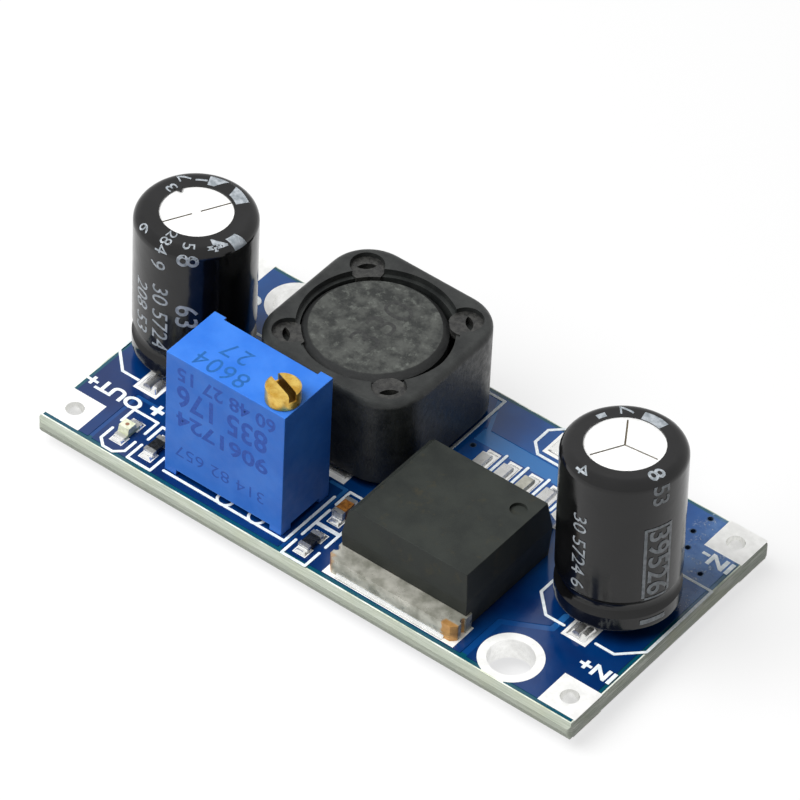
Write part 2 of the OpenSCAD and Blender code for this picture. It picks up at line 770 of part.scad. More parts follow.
module inductor_drum() {
    top = ind_h - pad_top - drum_sink;
    color([0.42, 0.42, 0.4]) at_drum() rotate_extrude() polygon([
        [0, shield_z], [drum_d / 2, shield_z], [drum_d / 2, shield_z + drum_flange_t],
        [drum_waist_d / 2, shield_z + drum_flange_t], [drum_waist_d / 2, top - drum_flange_t],
        [drum_d / 2, top - drum_flange_t], [drum_d / 2, top - drum_bevel],
        [drum_face_d / 2, top], [0, top]
    ]);
}

module inductor_winding() {
    top = ind_h - pad_top - drum_sink - drum_flange_t;
    bottom = shield_z + drum_flange_t;
    color("peru") at_drum() translate([0, 0, bottom]) difference() {
        cylinder(h = top - bottom, d = drum_d - 2 * winding_inset);
        translate([0, 0, -CUT]) cylinder(h = top - bottom + 2 * CUT, d = drum_waist_d);
    }
}

module base_plate_2d() {
    lug = 1.6;
    inner = ind_w - 1.2;
    intersection() {
        square(inner, center = true);
        rotate(45) square(inner * 1.414 - 2 * lug, center = true);
    }
}

module inductor_base() {
    color([0.12, 0.12, 0.12]) at_inductor() difference() {
        linear_extrude(ind_base_t) base_plate_2d();
        for (s = [-1, 1]) translate([0, s * (ind_w / 2 - 0.9), -CUT])
            block([ind_term_w, 3, ind_term_t + CUT]);
    }
}

module inductor_terminals() {
    foot = 2.4;
    color("silver") at_inductor() for (s = [-1, 1]) {
        translate([0, s * (ind_w / 2 - foot / 2 + 0.12), 0]) block([ind_term_w, foot, ind_term_t]);
        translate([0, s * (ind_w / 2 - 0.6 + ind_term_t / 2), 0])
            block([ind_term_w, ind_term_t, ind_base_t]);
    }
}

// A lens-shaped hollow in each glue pocket, across the line to the corner
module glue_hollows_2d() {
    bow = 0.75;
    for (a = [45 : 90 : 315]) rotate(a) translate([pocket_at * 1.414 + 0.2, 0]) intersection() {
        translate([bow, 0]) circle(r = 1);
        translate([-bow, 0]) circle(r = 1);
    }
}

module inductor_glue() {
    glue_t = pocket_depth - 0.35;
    color([0.1, 0.1, 0.1]) at_inductor()
        translate([0, 0, ind_h - pad_top - pocket_depth]) linear_extrude(glue_t) difference() {
            pockets_2d(pocket_r);
            translate([drum_off, 0]) circle(d = drum_d);
            glue_hollows_2d();
        }
}

// ---------------------------------------------------------------- trimmer

// Local frame: X from the input end, Y from the back face, Z from the board
module at_trimmer() {
    place(trim_x0, trim_y0, board_t) children();
}

trim_top = trim_foot + trim_h;
cavity_top = trim_top - trim_top_t;
screw_x = screw_inset_end;
screw_y = trim_t - screw_inset_front;
cavity_back = trim_ear + trim_wall;
cavity_front = trim_t - trim_wall;
plug_top = trim_foot + trim_plug_t;
element_y1 = cavity_back + element_t;
seal_section = 0.26;
seal_room = 0.04;                 // height left free above the sealing ring
seal_r = screw_d / 2 + run_gap + seal_section / 2;
carriage_mid = (plug_top + cavity_top) / 2;
carriage_back = element_y1 + 0.45;
pocket_in = 1.5;                  // from the screw's axis to the contact's pocket
pocket_deep = 0.35;               // depth of the contact's pocket in the carriage
contact_h = 1;                    // height of the spring contact
rail_t = 0.2;                     // thickness of the pins' flat parts
rail_w = 0.9;                     // width of the pins' flat parts

// One pin: a round leg, a rail sunk in the plug and a blade at the element
module trimmer_pin(i) {
    blade_h = 0.3;
    translate([trim_l / 2 + i * pin_pitch, 0, 0]) {
        translate([0, trim_t / 2, -board_t - pin_below])
            cylinder(h = board_t + pin_below + plug_top - rail_t, d = pin_d);
        translate([-rail_w / 2, cavity_back + rail_t, plug_top - rail_t])
            cube([rail_w, (trim_t + pin_d) / 2 - cavity_back - rail_t, rail_t]);
        translate([-rail_w / 2, element_y1, plug_top - rail_t]) cube([rail_w, rail_t, rail_t + blade_h]);
    }
}

module trimmer_housing() {
    color([0.25, 0.5, 0.95]) at_trimmer() difference() {
        union() {
            difference() {
                translate([0, 0, trim_foot]) cube([trim_l, trim_t, trim_h]);
                translate([trim_wall, cavity_back, -CUT])
                    cube([trim_l - 2 * trim_wall, cavity_front - cavity_back, cavity_top + CUT]);
            }
            // a foot at each corner
            for (x = [0, trim_l - trim_ear_w], y = [0, trim_t - trim_ear_w])
                translate([x, y, 0]) cube([trim_ear_w, trim_ear_w, trim_foot]);
        }
        translate([trim_ear_w, -CUT, -CUT])
            cube([trim_l - 2 * trim_ear_w, trim_ear + CUT, trim_top + 2 * CUT]);
        translate([screw_x, screw_y, cavity_top - CUT])
            cylinder(h = trim_top_t + 2 * CUT, d = screw_d + 2 * run_gap);
        translate([screw_x, screw_y, cavity_top - CUT])
            cylinder(h = seal_section + seal_room + CUT, r = seal_r + seal_section / 2);
    }
}

module trimmer_plug() {
    color([0.2, 0.35, 0.65]) at_trimmer() difference() {
        translate([trim_wall, cavity_back, trim_foot])
            cube([trim_l - 2 * trim_wall, cavity_front - cavity_back, trim_plug_t]);
        translate([screw_x, screw_y, trim_foot + 0.5]) cylinder(h = trim_plug_t, d = screw_d + 2 * run_gap);
        for (i = [-1 : 1]) trimmer_pin(i);
    }
}

module trimmer_element() {
    inset = 0.2;
    color("white") at_trimmer() translate([trim_wall + inset, cavity_back, plug_top])
        cube([trim_l - 2 * (trim_wall + inset), element_t, cavity_top - plug_top]);
}

module trimmer_pins() {
    color("silver") at_trimmer() for (i = [-1 : 1]) trimmer_pin(i);
}

module trimmer_seal() {
    ring_z = cavity_top + (seal_section + seal_room) / 2;
    color([0.15, 0.15, 0.15]) at_trimmer() translate([screw_x, screw_y, ring_z])
        rotate_extrude() translate([seal_r, 0]) circle(d = seal_section, $fn = 24);
}

module trimmer_screw() {
    tip = trim_foot + 0.6;
    color("gold") at_trimmer() translate([screw_x, screw_y, 0]) {
        translate([0, 0, tip]) cylinder(h = trim_top + run_gap * 2 - tip, d = screw_d);
        translate([0, 0, trim_top + run_gap]) difference() {
            union() {
                cylinder(h = screw_head_h - 0.15, d = screw_head_d);
                translate([0, 0, screw_head_h - 0.15])
                    cylinder(h = 0.15, d1 = screw_head_d, d2 = screw_head_d - 0.3);
            }
            rotate([0, 0, slot_angle]) translate([0, 0, screw_head_h - slot_depth])
                block([screw_head_d + CUT, slot_w, slot_depth + CUT]);
        }
    }
}

module trimmer_carriage() {
    front = cavity_front - slide_gap;
    color("ivory") at_trimmer() translate([screw_x, 0, carriage_mid]) difference() {
        translate([0, carriage_back, -carriage_h / 2]) cube([carriage_l, front - carriage_back, carriage_h]);
        translate([0, screw_y, -carriage_h / 2 - CUT])
            cylinder(h = carriage_h + 2 * CUT, d = screw_d + 2 * run_gap);
        translate([pocket_in, carriage_back - CUT, -contact_h / 2])
            cube([carriage_l, CUT + pocket_deep, contact_h]);
    }
}

// A spring strip in the carriage's pocket with three fingers towards the element
module trimmer_contact() {
    strip = 0.12;
    finger_w = 0.22;
    finger_step = 0.34;
    toe = 0.5;
    strip_y = carriage_back + pocket_deep - strip;
    finger_y = element_y1 + run_gap;
    color("gold") at_trimmer() translate([screw_x, 0, carriage_mid]) {
        translate([pocket_in, strip_y, -contact_h / 2]) cube([carriage_l - pocket_in, strip, contact_h]);
        for (i = [-1 : 1]) translate([carriage_l, finger_y, i * finger_step - finger_w / 2]) {
            cube([strip, strip_y + strip - finger_y, finger_w]);
            cube([toe, strip, finger_w]);
        }
    }
}

module pin_solder() {
    color("silver") for (p = pin_points) translate([p[0], p[1], -pin_below * 0.8]) difference() {
        cylinder(h = pin_below * 0.8, d1 = pin_d + 0.3, d2 = pin_land_d - 0.2);
        translate([0, 0, -CUT]) cylinder(h = pin_below + 2 * CUT, d = pin_d);
    }
}

// ---------------------------------------------------------------- capacitors

lean_room = cap_r * sin(in_cap_lean) / 2;      // lifts a leaning can clear of its leads
elbow = cap_lead_d + 0.04;                     // size of the elbow in a capacitor's lead
cap_base_z = pad_z + elbow + lean_room;        // underside of the rubber seal
seal_in = 1.2;                                 // depth of the seal inside the can
seal_wall = 0.4;                               // wall of the can round the seal

// Frame of one capacitor: Z along its axis, zero at the sleeve's lower edge
module cap_frame(x, off, lean) {
    translate([x, -off, cap_base_z + bung_drop])
        rotate([0, 0, in_cap_lean_to]) rotate([0, lean, 0]) rotate([0, 0, -in_cap_lean_to]) children();
}

// Half section of the can or of its sleeve, from the axis outwards
module can_half_2d(r, top) {
    difference() {
        union() {
            square([r - can_edge_r, top]);
            translate([0, can_foot_r]) square([r, top - can_edge_r - can_foot_r]);
            square([r - can_foot_r, top / 2]);
            translate([r - can_edge_r, top - can_edge_r]) circle(r = can_edge_r);
            translate([r - can_foot_r, can_foot_r]) circle(r = can_foot_r);
        }
        translate([r + groove_w / 2 - groove_depth, groove_z]) circle(d = groove_w);
    }
}

module cap_can(h, vent_d, arms) {
    top = h - sleeve_t;
    color("gainsboro") difference() {
        rotate_extrude() can_half_2d(cap_r - sleeve_t, top);
        translate([0, 0, -CUT]) cylinder(h = seal_in + CUT, r = cap_r - sleeve_t - seal_wall);
        for (a = arms) rotate([0, 0, a[0]])
            translate([a[1] * vent_d / 2, -score_w / 2, top - score_depth])
                cube([(a[2] - a[1]) * vent_d / 2, score_w, CUT]);
    }
}

module cap_sleeve(h, vent_d) {
    color([0.13, 0.13, 0.13]) difference() {
        rotate_extrude() difference() {
            can_half_2d(cap_r, h);
            can_half_2d(cap_r - sleeve_t, h - sleeve_t);
        }
        translate([0, 0, h - 1]) cylinder(h = 1 + CUT, d = vent_d);
    }
}

module cap_seal() {
    color([0.1, 0.1, 0.1]) translate([0, 0, -bung_drop]) difference() {
        cylinder(h = bung_drop + seal_in, r = cap_r - sleeve_t - seal_wall);
        for (s = [-1, 1]) translate([0, s * cap_pitch / 2, -CUT])
            cylinder(h = bung_drop + seal_in + 2 * CUT, d = cap_lead_d);
    }
}

// How far below a can's lower edge the axis of its lead at y reaches height z
function lead_drop(y, z, lean) =
    (cap_base_z + bung_drop - z - y * sin(in_cap_lean_to) * sin(lean)) / cos(lean);

// Shift of that point from the can's foot, in the direction of the lean
function lead_shift(y, z, lean) =
    y * sin(in_cap_lean_to) * (cos(lean) - 1) - lead_drop(y, z, lean) * sin(lean);

// A lead runs along its pad, turns up at a pressed elbow and enters the seal
module cap_leads(x, off, lean) {
    low = pad_z + elbow / 2;
    to = [cos(in_cap_lean_to), sin(in_cap_lean_to)];
    color("silver") for (s = [-1, 1]) {
        y = s * cap_pitch / 2;
        drop = lead_drop(y, low, lean);
        foot = [x, y - off] + lead_shift(y, low, lean) * to;
        tip_y = s * (cap_pad_reach - 0.25) - cap_pads_off;
        cap_frame(x, off, lean) translate([0, y, -drop]) cylinder(h = drop + seal_in, d = cap_lead_d);
        translate([foot[0], foot[1], low]) {
            cube(elbow, center = true);
            rotate([-s * 90, 0, 0]) cylinder(h = abs(tip_y - foot[1]), d = cap_lead_d);
        }
    }
}

in_arms = [[62, 0, 0.92], [184, 0, 0.92], [302, 0, 0.92]];
out_arms = [[62, 0.12, 1], [62, -1, -0.12]];

module in_cap_frame() { cap_frame(in_cap_x, in_cap_off, in_cap_lean) children(); }
module out_cap_frame() { cap_frame(out_cap_x, out_cap_off, 0) children(); }

module input_cap_can() { in_cap_frame() cap_can(in_cap_h, in_vent_d, in_arms); }
module input_cap_sleeve() { in_cap_frame() cap_sleeve(in_cap_h, in_vent_d); }
module input_cap_seal() { in_cap_frame() cap_seal(); }
module input_cap_leads() { cap_leads(in_cap_x, in_cap_off, in_cap_lean); }
module output_cap_can() { out_cap_frame() cap_can(out_cap_h, out_vent_d, out_arms); }
module output_cap_sleeve() { out_cap_frame() cap_sleeve(out_cap_h, out_vent_d); }
module output_cap_seal() { out_cap_frame() cap_seal(); }
module output_cap_leads() { cap_leads(out_cap_x, out_cap_off, 0); }

// ---------------------------------------------------------------- diode

module at_diode() {
    place(diode_x, diode_y, pad_z) children();
}

diode_lift = 0.12;
diode_line = 1.15;

module diode_leads_solid() {
    foot = 1.2;
    out = 0.35;
    for (turn = [0, 180]) rotate([0, 0, turn]) {
        translate([diode_l / 2 + out - foot, -diode_lead_w / 2, 0]) cube([foot, diode_lead_w, diode_lead_t]);
        translate([diode_l / 2 + out - diode_lead_t, -diode_lead_w / 2, 0])
            cube([diode_lead_t, diode_lead_w, diode_line + diode_lead_t]);
        translate([diode_l / 2 - 0.8, -diode_lead_w / 2, diode_line])
            cube([0.8 + out, diode_lead_w, diode_lead_t]);
    }
}

module diode_body() {
    color([0.12, 0.12, 0.12]) at_diode() difference() {
        translate([0, 0, diode_lift])
            drafted_body(diode_l, diode_w, diode_h - diode_lift, diode_line - diode_lift, 0.2, 0.16);
        diode_leads_solid();
    }
}

module diode_leads() {
    color("silver") at_diode() diode_leads_solid();
}

// ---------------------------------------------------------------- chip parts

module chip_body(h) {
    block([chip_w - 2 * chip_end_t, chip_l - 2 * chip_end_t, h - 2 * chip_end_t]);
}

// Both metal ends of a chip part that lies along Y
module chip_ends(h) {
    for (s = [-1, 1]) difference() {
        translate([0, s * (chip_l - chip_end) / 2, 0]) block([chip_w, chip_end, h]);
        translate([0, 0, chip_end_t]) chip_body(h);
    }
}

module chip_at(x, y) {
    place(x, y, pad_z) children();
}

module led_resistor() {
    color([0.1, 0.1, 0.1]) chip_at(led_res_x, led_y) translate([0, 0, chip_end_t]) chip_body(chip_res_h);
}
module led_resistor_ends() { color("silver") chip_at(led_res_x, led_y) chip_ends(chip_res_h); }
module feedback_resistor() {
    color([0.1, 0.1, 0.1]) chip_at(fb_x, fb_y) translate([0, 0, chip_end_t]) chip_body(chip_res_h);
}
module feedback_resistor_ends() { color("silver") chip_at(fb_x, fb_y) chip_ends(chip_res_h); }
module chip_capacitor() {
    color("saddlebrown") chip_at(fb_x, chip_cap_y) translate([0, 0, chip_end_t]) chip_body(chip_cap_h);
}
module chip_capacitor_ends() { color("silver") chip_at(fb_x, chip_cap_y) chip_ends(chip_cap_h); }

lens_l = chip_l - 2 * chip_end - 0.04;

module led_carrier() {
    color([0.75, 0.8, 0.7]) chip_at(led_x, led_y) difference() {
        translate([0, 0, chip_end_t]) block([chip_w, chip_l - 2 * chip_end_t, led_base_t - chip_end_t]);
        led_ends_solid();
    }
}

module led_lens() {
    color([0.95, 0.93, 0.8]) chip_at(led_x, led_y) translate([0, 0, led_base_t]) rotate([90, 0, 90])
        linear_extrude(chip_w, center = true) polygon([
            [-lens_l / 2, 0], [lens_l / 2, 0], [lens_l / 2 - 0.1, led_h - led_base_t],
            [-lens_l / 2 + 0.1, led_h - led_base_t]
        ]);
}

module led_ends_solid() {
    for (s = [-1, 1]) {
        translate([0, s * (chip_l - chip_end) / 2, 0]) block([chip_w, chip_end, chip_end_t]);
        translate([0, s * (chip_l - chip_end_t) / 2, 0]) block([chip_w, chip_end_t, led_base_t]);
        translate([0, s * (chip_l - chip_end) / 2, led_base_t - chip_end_t])
            block([chip_w, chip_end, chip_end_t]);
    }
}

module led_ends() { color("silver") chip_at(led_x, led_y) led_ends_solid(); }

// ---------------------------------------------------------------- solder

// A concave bead along X, w wide, that climbs a wall at y = 0 and runs out to y = reach
module fillet(w, reach, climb) {
    rotate([90, 0, 90]) linear_extrude(w, center = true) difference() {
        square([reach, climb]);
        translate([reach, climb]) circle(r = min(reach, climb) * 0.98);
    }
}

module solder_fillets() {
    bead = 0.4;
    chips = [[fb_x, fb_y, chip_res_h], [fb_x, chip_cap_y, chip_cap_h],
             [led_res_x, led_y, chip_res_h], [led_x, led_y, led_base_t]];
    color("silver") {
        // chip parts and light
        for (c = chips, turn = [0, 180])
            place(c[0], c[1], pad_z, turn) translate([0, chip_l / 2, 0])
                fillet(chip_w * 0.9, bead, min(c[2], bead));
        // regulator's tab
        place(reg_cx, tab_front_y, pad_z) fillet(tab_w - 1.6, 0.25, 0.25);
    }
}

// ---------------------------------------------------------------- assembly

laminate();
mask_top();
mask_bottom();
silkscreen();
terminal_in_plus();
terminal_in_minus();
terminal_out_plus();
terminal_out_minus();
mounting_lands();
solder_pads();
vias();
solder_fillets();
regulator_body();
regulator_tab();
regulator_leads();
inductor_shield();
inductor_drum();
inductor_winding();
inductor_base();
inductor_terminals();
inductor_glue();
trimmer_housing();
trimmer_plug();
trimmer_element();
trimmer_pins();
trimmer_seal();
trimmer_screw();
trimmer_carriage();
trimmer_contact();
pin_solder();
input_cap_can();
input_cap_sleeve();
input_cap_seal();
input_cap_leads();
output_cap_can();
output_cap_sleeve();
output_cap_seal();
output_cap_leads();
diode_body();
diode_leads();
led_carrier();
led_lens();
led_ends();
led_resistor();
led_resistor_ends();
feedback_resistor();
feedback_resistor_ends();
chip_capacitor();
chip_capacitor_ends();
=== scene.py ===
"""Looks for the buck converter module: materials, printing, solder, light and camera.

Everything is in metres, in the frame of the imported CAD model. MM turns millimetres into metres.
"""
import math

import bpy
import bmesh
from mathutils import Matrix, Vector

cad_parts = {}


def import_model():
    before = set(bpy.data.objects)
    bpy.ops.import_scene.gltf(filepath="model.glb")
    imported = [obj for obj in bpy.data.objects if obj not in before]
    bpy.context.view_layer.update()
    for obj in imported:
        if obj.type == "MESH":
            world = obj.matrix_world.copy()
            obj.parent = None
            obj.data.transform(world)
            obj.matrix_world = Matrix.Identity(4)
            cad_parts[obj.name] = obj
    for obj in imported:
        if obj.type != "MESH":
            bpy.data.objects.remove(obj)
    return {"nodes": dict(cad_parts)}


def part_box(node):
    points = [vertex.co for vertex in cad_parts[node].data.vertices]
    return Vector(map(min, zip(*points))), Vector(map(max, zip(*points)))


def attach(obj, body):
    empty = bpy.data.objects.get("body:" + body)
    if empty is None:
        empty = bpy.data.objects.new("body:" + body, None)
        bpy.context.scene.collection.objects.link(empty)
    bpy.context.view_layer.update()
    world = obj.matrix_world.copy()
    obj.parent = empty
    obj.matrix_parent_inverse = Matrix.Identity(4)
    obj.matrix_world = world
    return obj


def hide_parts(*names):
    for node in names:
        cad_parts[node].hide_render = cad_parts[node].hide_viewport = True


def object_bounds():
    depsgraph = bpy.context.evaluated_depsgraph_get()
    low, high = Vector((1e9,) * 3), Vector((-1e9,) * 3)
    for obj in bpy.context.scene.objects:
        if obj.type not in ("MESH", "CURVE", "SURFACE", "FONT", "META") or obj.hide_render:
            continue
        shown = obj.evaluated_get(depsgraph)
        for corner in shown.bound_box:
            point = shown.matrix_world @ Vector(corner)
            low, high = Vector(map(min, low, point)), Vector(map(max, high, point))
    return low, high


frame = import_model()
cad_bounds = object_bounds()
MM = 0.001
UP = Vector((0, 0, 1))
MERGE = 1e-8            # points nearer than this, in metres, are one point
INK_THICK = 0.006       # letters on the sleeves, in millimetres
FIELD_THICK = 0.004     # printed fields on the sleeves, in millimetres
SLEEVE_THICK = 0.12     # how far a can's top lies under the top of its sleeve, in millimetres
SHOULDER = 0.7          # the rounding of a sleeve's upper edge, in millimetres
FONT_SIZE = 1.42        # the size of the font over the height of its capitals

# ---------------------------------------------------------------- places, read from the frame


def middle(node):
    """The middle of a node's box, in metres."""
    low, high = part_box(node)
    return (low + high) / 2


def box_mm(node):
    """The low and high corner of a node's box, in millimetres."""
    low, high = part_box(node)
    return low / MM, high / MM


board_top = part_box("mask_top")[1].z / MM
pad_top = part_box("solder_pads")[1].z / MM


# ---------------------------------------------------------------- materials


class Shader:
    """One Principled material. Patterns are measured in millimetres on the object."""

    def __init__(self, name):
        self.material = bpy.data.materials.new(name)
        self.material.use_nodes = True
        self.tree = self.material.node_tree
        self.principled = self.tree.nodes["Principled BSDF"]
        self.place = self.new("ShaderNodeTexCoord").outputs["Object"]
        self.mm = self.scaled((1 / MM,) * 3)

    def new(self, kind, **settings):
        node = self.tree.nodes.new(kind)
        for key, value in settings.items():
            setattr(node, key, value)
        return node

    def link(self, source, target):
        self.tree.links.new(source, target)

    def put(self, target, value):
        """Sets a socket to a number or colour, or links another socket to it."""
        if isinstance(value, bpy.types.NodeSocket):
            self.link(value, target)
        elif isinstance(value, (tuple, list)) and len(value) == 3 and target.type == "RGBA":
            target.default_value = (*value, 1)
        else:
            target.default_value = value

    def scaled(self, scale):
        """The place on the object, times a scale for each axis."""
        mapping = self.new("ShaderNodeMapping")
        self.link(self.place, mapping.inputs["Vector"])
        mapping.inputs["Scale"].default_value = scale
        return mapping.outputs["Vector"]

    def noise(self, per_mm, detail=4.0, rough=0.55, stretch=None):
        """Noise from 0 to 1 with that many features a millimetre, or stretched along an axis."""
        node = self.new("ShaderNodeTexNoise")
        where = self.scaled(tuple(s / MM for s in stretch)) if stretch else self.mm
        self.link(where, node.inputs["Vector"])
        node.inputs["Scale"].default_value = per_mm
        node.inputs["Detail"].default_value = detail
        node.inputs["Roughness"].default_value = rough
        return node.outputs["Fac"]

    def band(self, value, start, end, low=0.0, high=1.0):
        """Goes smoothly from low to high while the value goes from start to end."""
        node = self.new("ShaderNodeMapRange", interpolation_type="SMOOTHSTEP")
        self.put(node.inputs["Value"], value)
        for key, number in (("From Min", start), ("From Max", end), ("To Min", low), ("To Max", high)):
            node.inputs[key].default_value = number
        return node.outputs["Result"]

    def math(self, kind, a, b=0.0):
        """A number worked out from two others."""
        node = self.new("ShaderNodeMath", operation=kind)
        self.put(node.inputs[0], a)
        self.put(node.inputs[1], b)
        return node.outputs["Value"]

    def mix(self, factor, a, b):
        """Colour a where the factor is 0 and b where it is 1."""
        node = self.new("ShaderNodeMix", data_type="RGBA")
        self.put(node.inputs["Factor"], factor)
        self.put(node.inputs[6], a)
        self.put(node.inputs[7], b)
        return node.outputs[2]

    def parts(self, socket=None):
        """The X, Y and Z of a vector, by default of the place on the object in millimetres."""
        node = self.new("ShaderNodeSeparateXYZ")
        self.link(socket or self.mm, node.inputs["Vector"])
        return node.outputs

    def along(self, axis, origin):
        """How far the place lies along an axis from an origin, in millimetres."""
        node = self.new("ShaderNodeVectorMath", operation="DOT_PRODUCT")
        self.link(self.mm, node.inputs[0])
        node.inputs[1].default_value = axis
        return self.math("SUBTRACT", node.outputs["Value"], axis.dot(origin) / MM)

    def away(self, at):
        """The distance from the upright line through a point; both in millimetres."""
        x, y = self.parts()[:2]
        dx = self.math("SUBTRACT", x, at.x)
        dy = self.math("SUBTRACT", y, at.y)
        square = self.math("ADD", self.math("MULTIPLY", dx, dx), self.math("MULTIPLY", dy, dy))
        return self.math("SQRT", square)

    def under(self):
        """The colour that has been set so far, to mix another one over it."""
        return self.principled.inputs["Base Color"].links[0].from_socket

    def normal(self):
        """The surface's direction in the object's own frame."""
        turn = self.new("ShaderNodeVectorTransform", vector_type="NORMAL",
                        convert_from="WORLD", convert_to="OBJECT")
        self.link(self.new("ShaderNodeNewGeometry").outputs["Normal"], turn.inputs["Vector"])
        return self.parts(turn.outputs["Vector"])

    def bump(self, height, depth_mm):
        """Adds bumps to those that are there already."""
        node = self.new("ShaderNodeBump")
        node.inputs["Strength"].default_value = 1.0
        node.inputs["Distance"].default_value = depth_mm * MM
        self.put(node.inputs["Height"], height)
        if self.principled.inputs["Normal"].is_linked:
            self.link(self.principled.inputs["Normal"].links[0].from_socket, node.inputs["Normal"])
        self.link(node.outputs["Normal"], self.principled.inputs["Normal"])

    def set(self, **values):
        """Sets sockets of the Principled node, with _ for each space in a name."""
        for key, value in values.items():
            self.put(self.principled.inputs[key.replace("_", " ")], value)
        return self


def surface(name, dark, light, per_mm=2.0, rough=(0.4, 0.55), metallic=0.0, bump=0.0,
            bump_per_mm=12.0, spot=None, spot_amount=0.3, **more):
    """A material with drifting colour and gloss, fine bumps and, where wanted, spots of wear."""
    s = Shader(name)
    drift = s.band(s.noise(per_mm, 5.0), 0.32, 0.68)
    colour = s.mix(drift, dark, light)
    if spot:
        marks = s.band(s.noise(per_mm * 3.1, 7.0, 0.7), 0.62 - spot_amount * 0.2, 0.72)
        colour = s.mix(s.math("MULTIPLY", marks, spot_amount), colour, spot)
    s.set(Base_Color=colour, Metallic=metallic)
    s.set(Roughness=s.band(s.noise(per_mm * 1.7, 6.0), 0.3, 0.7, *rough))
    if bump:
        s.bump(s.noise(bump_per_mm, 4.0), bump)
    s.set(**more)
    return s


def srgb(r, g, b):
    """A linear colour from an sRGB colour of 0 to 255."""
    return tuple(((c / 255 + 0.055) / 1.055) ** 2.4 if c > 10 else c / 255 / 12.92 for c in (r, g, b))


def wear(node, shader):
    """Puts a material on every slot of a CAD node."""
    obj = frame["nodes"][node]
    if not obj.data.materials:
        obj.data.materials.append(shader.material)
    for i in range(len(obj.data.materials)):
        obj.data.materials[i] = shader.material


def laminate_shader():
    """Pale greenish glass cloth, with its layers showing along the edges."""
    s = Shader("laminate")
    layers = s.noise(1.0, 5.0, 0.6, stretch=(0.5, 0.5, 14.0))
    colour = s.mix(s.band(layers, 0.35, 0.65), srgb(186, 196, 178), srgb(246, 250, 240))
    blotch = s.band(s.noise(0.45, 4.0), 0.45, 0.7)
    colour = s.mix(s.math("MULTIPLY", blotch, 0.35), colour, srgb(226, 226, 192))
    fleck = s.band(s.noise(7.0, 6.0, 0.7), 0.6, 0.7)
    colour = s.mix(s.math("MULTIPLY", fleck, 0.4), colour, srgb(160, 172, 158))
    # the long side towards +Y is painted a little greyer than the other three, as painted shade
    painted_side_shade = s.math("MULTIPLY", s.band(s.normal()[1], 0.5, 0.9), 0.65)
    colour = s.mix(painted_side_shade, colour, srgb(172, 180, 164))
    s.set(Base_Color=colour, Roughness=s.band(layers, 0.3, 0.7, 0.45, 0.7))
    s.set(Specular_IOR_Level=0.4)
    s.bump(layers, 0.02)
    s.bump(s.noise(9.0), 0.008)
    return s


def lacquer_shader(name, step):
    """Deep blue over copper, teal along the rim and lighter blue over bare laminate; both blues are painted
    darker towards the front (+Y) as painted shade and lighter towards the rear as painted light.

    step is the height of the lacquer over copper in millimetres, or None for copper all over.
    """
    s = Shader(name)
    x, y, z = s.parts()
    high = box_mm("mask_top")[1]
    inset, soft = 0.42, 0.05
    copper = s.band(z, step - 0.03, step - 0.01) if step else 1.0
    rim_y = s.band(s.math("ABSOLUTE", y), high.y - inset - soft, high.y - inset + soft)
    rim_x = s.band(s.math("ABSOLUTE", x), high.x - inset - soft, high.x - inset + soft)
    rim = s.math("MAXIMUM", rim_x, rim_y)
    cloud = s.band(s.noise(0.22, 3.0), 0.3, 0.7)
    # the two blues over copper differ by painted light, not by lacquer thickness: the first, at the front
    # (+Y), is painted shade and the second, at the rear, is painted light
    thick = s.mix(cloud, srgb(1, 36, 88), srgb(4, 52, 108))
    lit_rear_blue = s.mix(cloud, srgb(4, 62, 124), srgb(10, 80, 148))
    over_copper = s.mix(s.band(y, 4.0, -4.0), thick, lit_rear_blue)
    # the bare-laminate blue is also painted darker at the front (painted shade) and lighter at the rear
    # (painted light)
    bare = s.mix(s.band(y, 6.0, 2.0), srgb(8, 62, 122), srgb(42, 106, 168))
    over_board = s.mix(rim, bare, srgb(4, 74, 92))
    colour = s.mix(copper, over_board, over_copper) if step else over_copper
    dust = s.band(s.noise(3.0, 8.0, 0.75), 0.68, 0.78)
    colour = s.mix(s.math("MULTIPLY", dust, 0.25), colour, srgb(150, 175, 200))
    # dried flux by the negative input terminal: a lighter film, partly painted light over the can's shadow,
    # with white painted glints in it
    corner = s.math("MULTIPLY", s.band(x, -16.2, -18.2), s.band(y, -1.2, -3.4))
    flux_and_glints = s.math("MULTIPLY", s.band(s.noise(2.2, 9.0, 0.8), 0.55, 0.63), corner)
    # the white specks are painted glints
    colour = s.mix(s.math("MULTIPLY", flux_and_glints, 0.75), colour, srgb(205, 222, 240))
    film = s.math("MULTIPLY", s.band(s.noise(0.8, 4.0), 0.35, 0.65, 0.1, 0.45), corner)
    # the film lightens this corner, partly as painted light
    colour = s.mix(film, colour, srgb(110, 150, 200))
    s.set(Base_Color=colour, Roughness=s.band(s.noise(1.2, 5.0), 0.3, 0.7, 0.1, 0.2))
    s.set(Specular_IOR_Level=0.6)
    s.bump(flux_and_glints, 0.02)
    s.bump(s.noise(1.6, 3.0), 0.006)
    s.bump(s.noise(14.0, 3.0), 0.0015)
    return s


def tinned(name, rough, tone, bump, metallic):
    """Bright metal with grey clouds and fine pits."""
    grey = (0.86 * tone, 0.86 * tone, 0.84 * tone)
    bright = (0.98 * tone, 0.98 * tone, 0.96 * tone)
    return surface(name, grey, bright, per_mm=1.6, rough=rough, metallic=metallic, bump=bump,
                   bump_per_mm=3.0)


def pad_shader():
    """Tinned pads and lands, matt on their faces and bright on the walls of their holes."""
    s = tinned("pad_tin", (0.3, 0.5), 1.0, 0.004, 0.15)
    hole_wall = s.band(s.math("ABSOLUTE", s.normal()[2]), 0.5, 0.3)
    s.set(Metallic=s.band(hole_wall, 0.0, 1.0, 0.15, 1.0),
          Roughness=s.band(hole_wall, 0.0, 1.0, 0.42, 0.12))
    return s


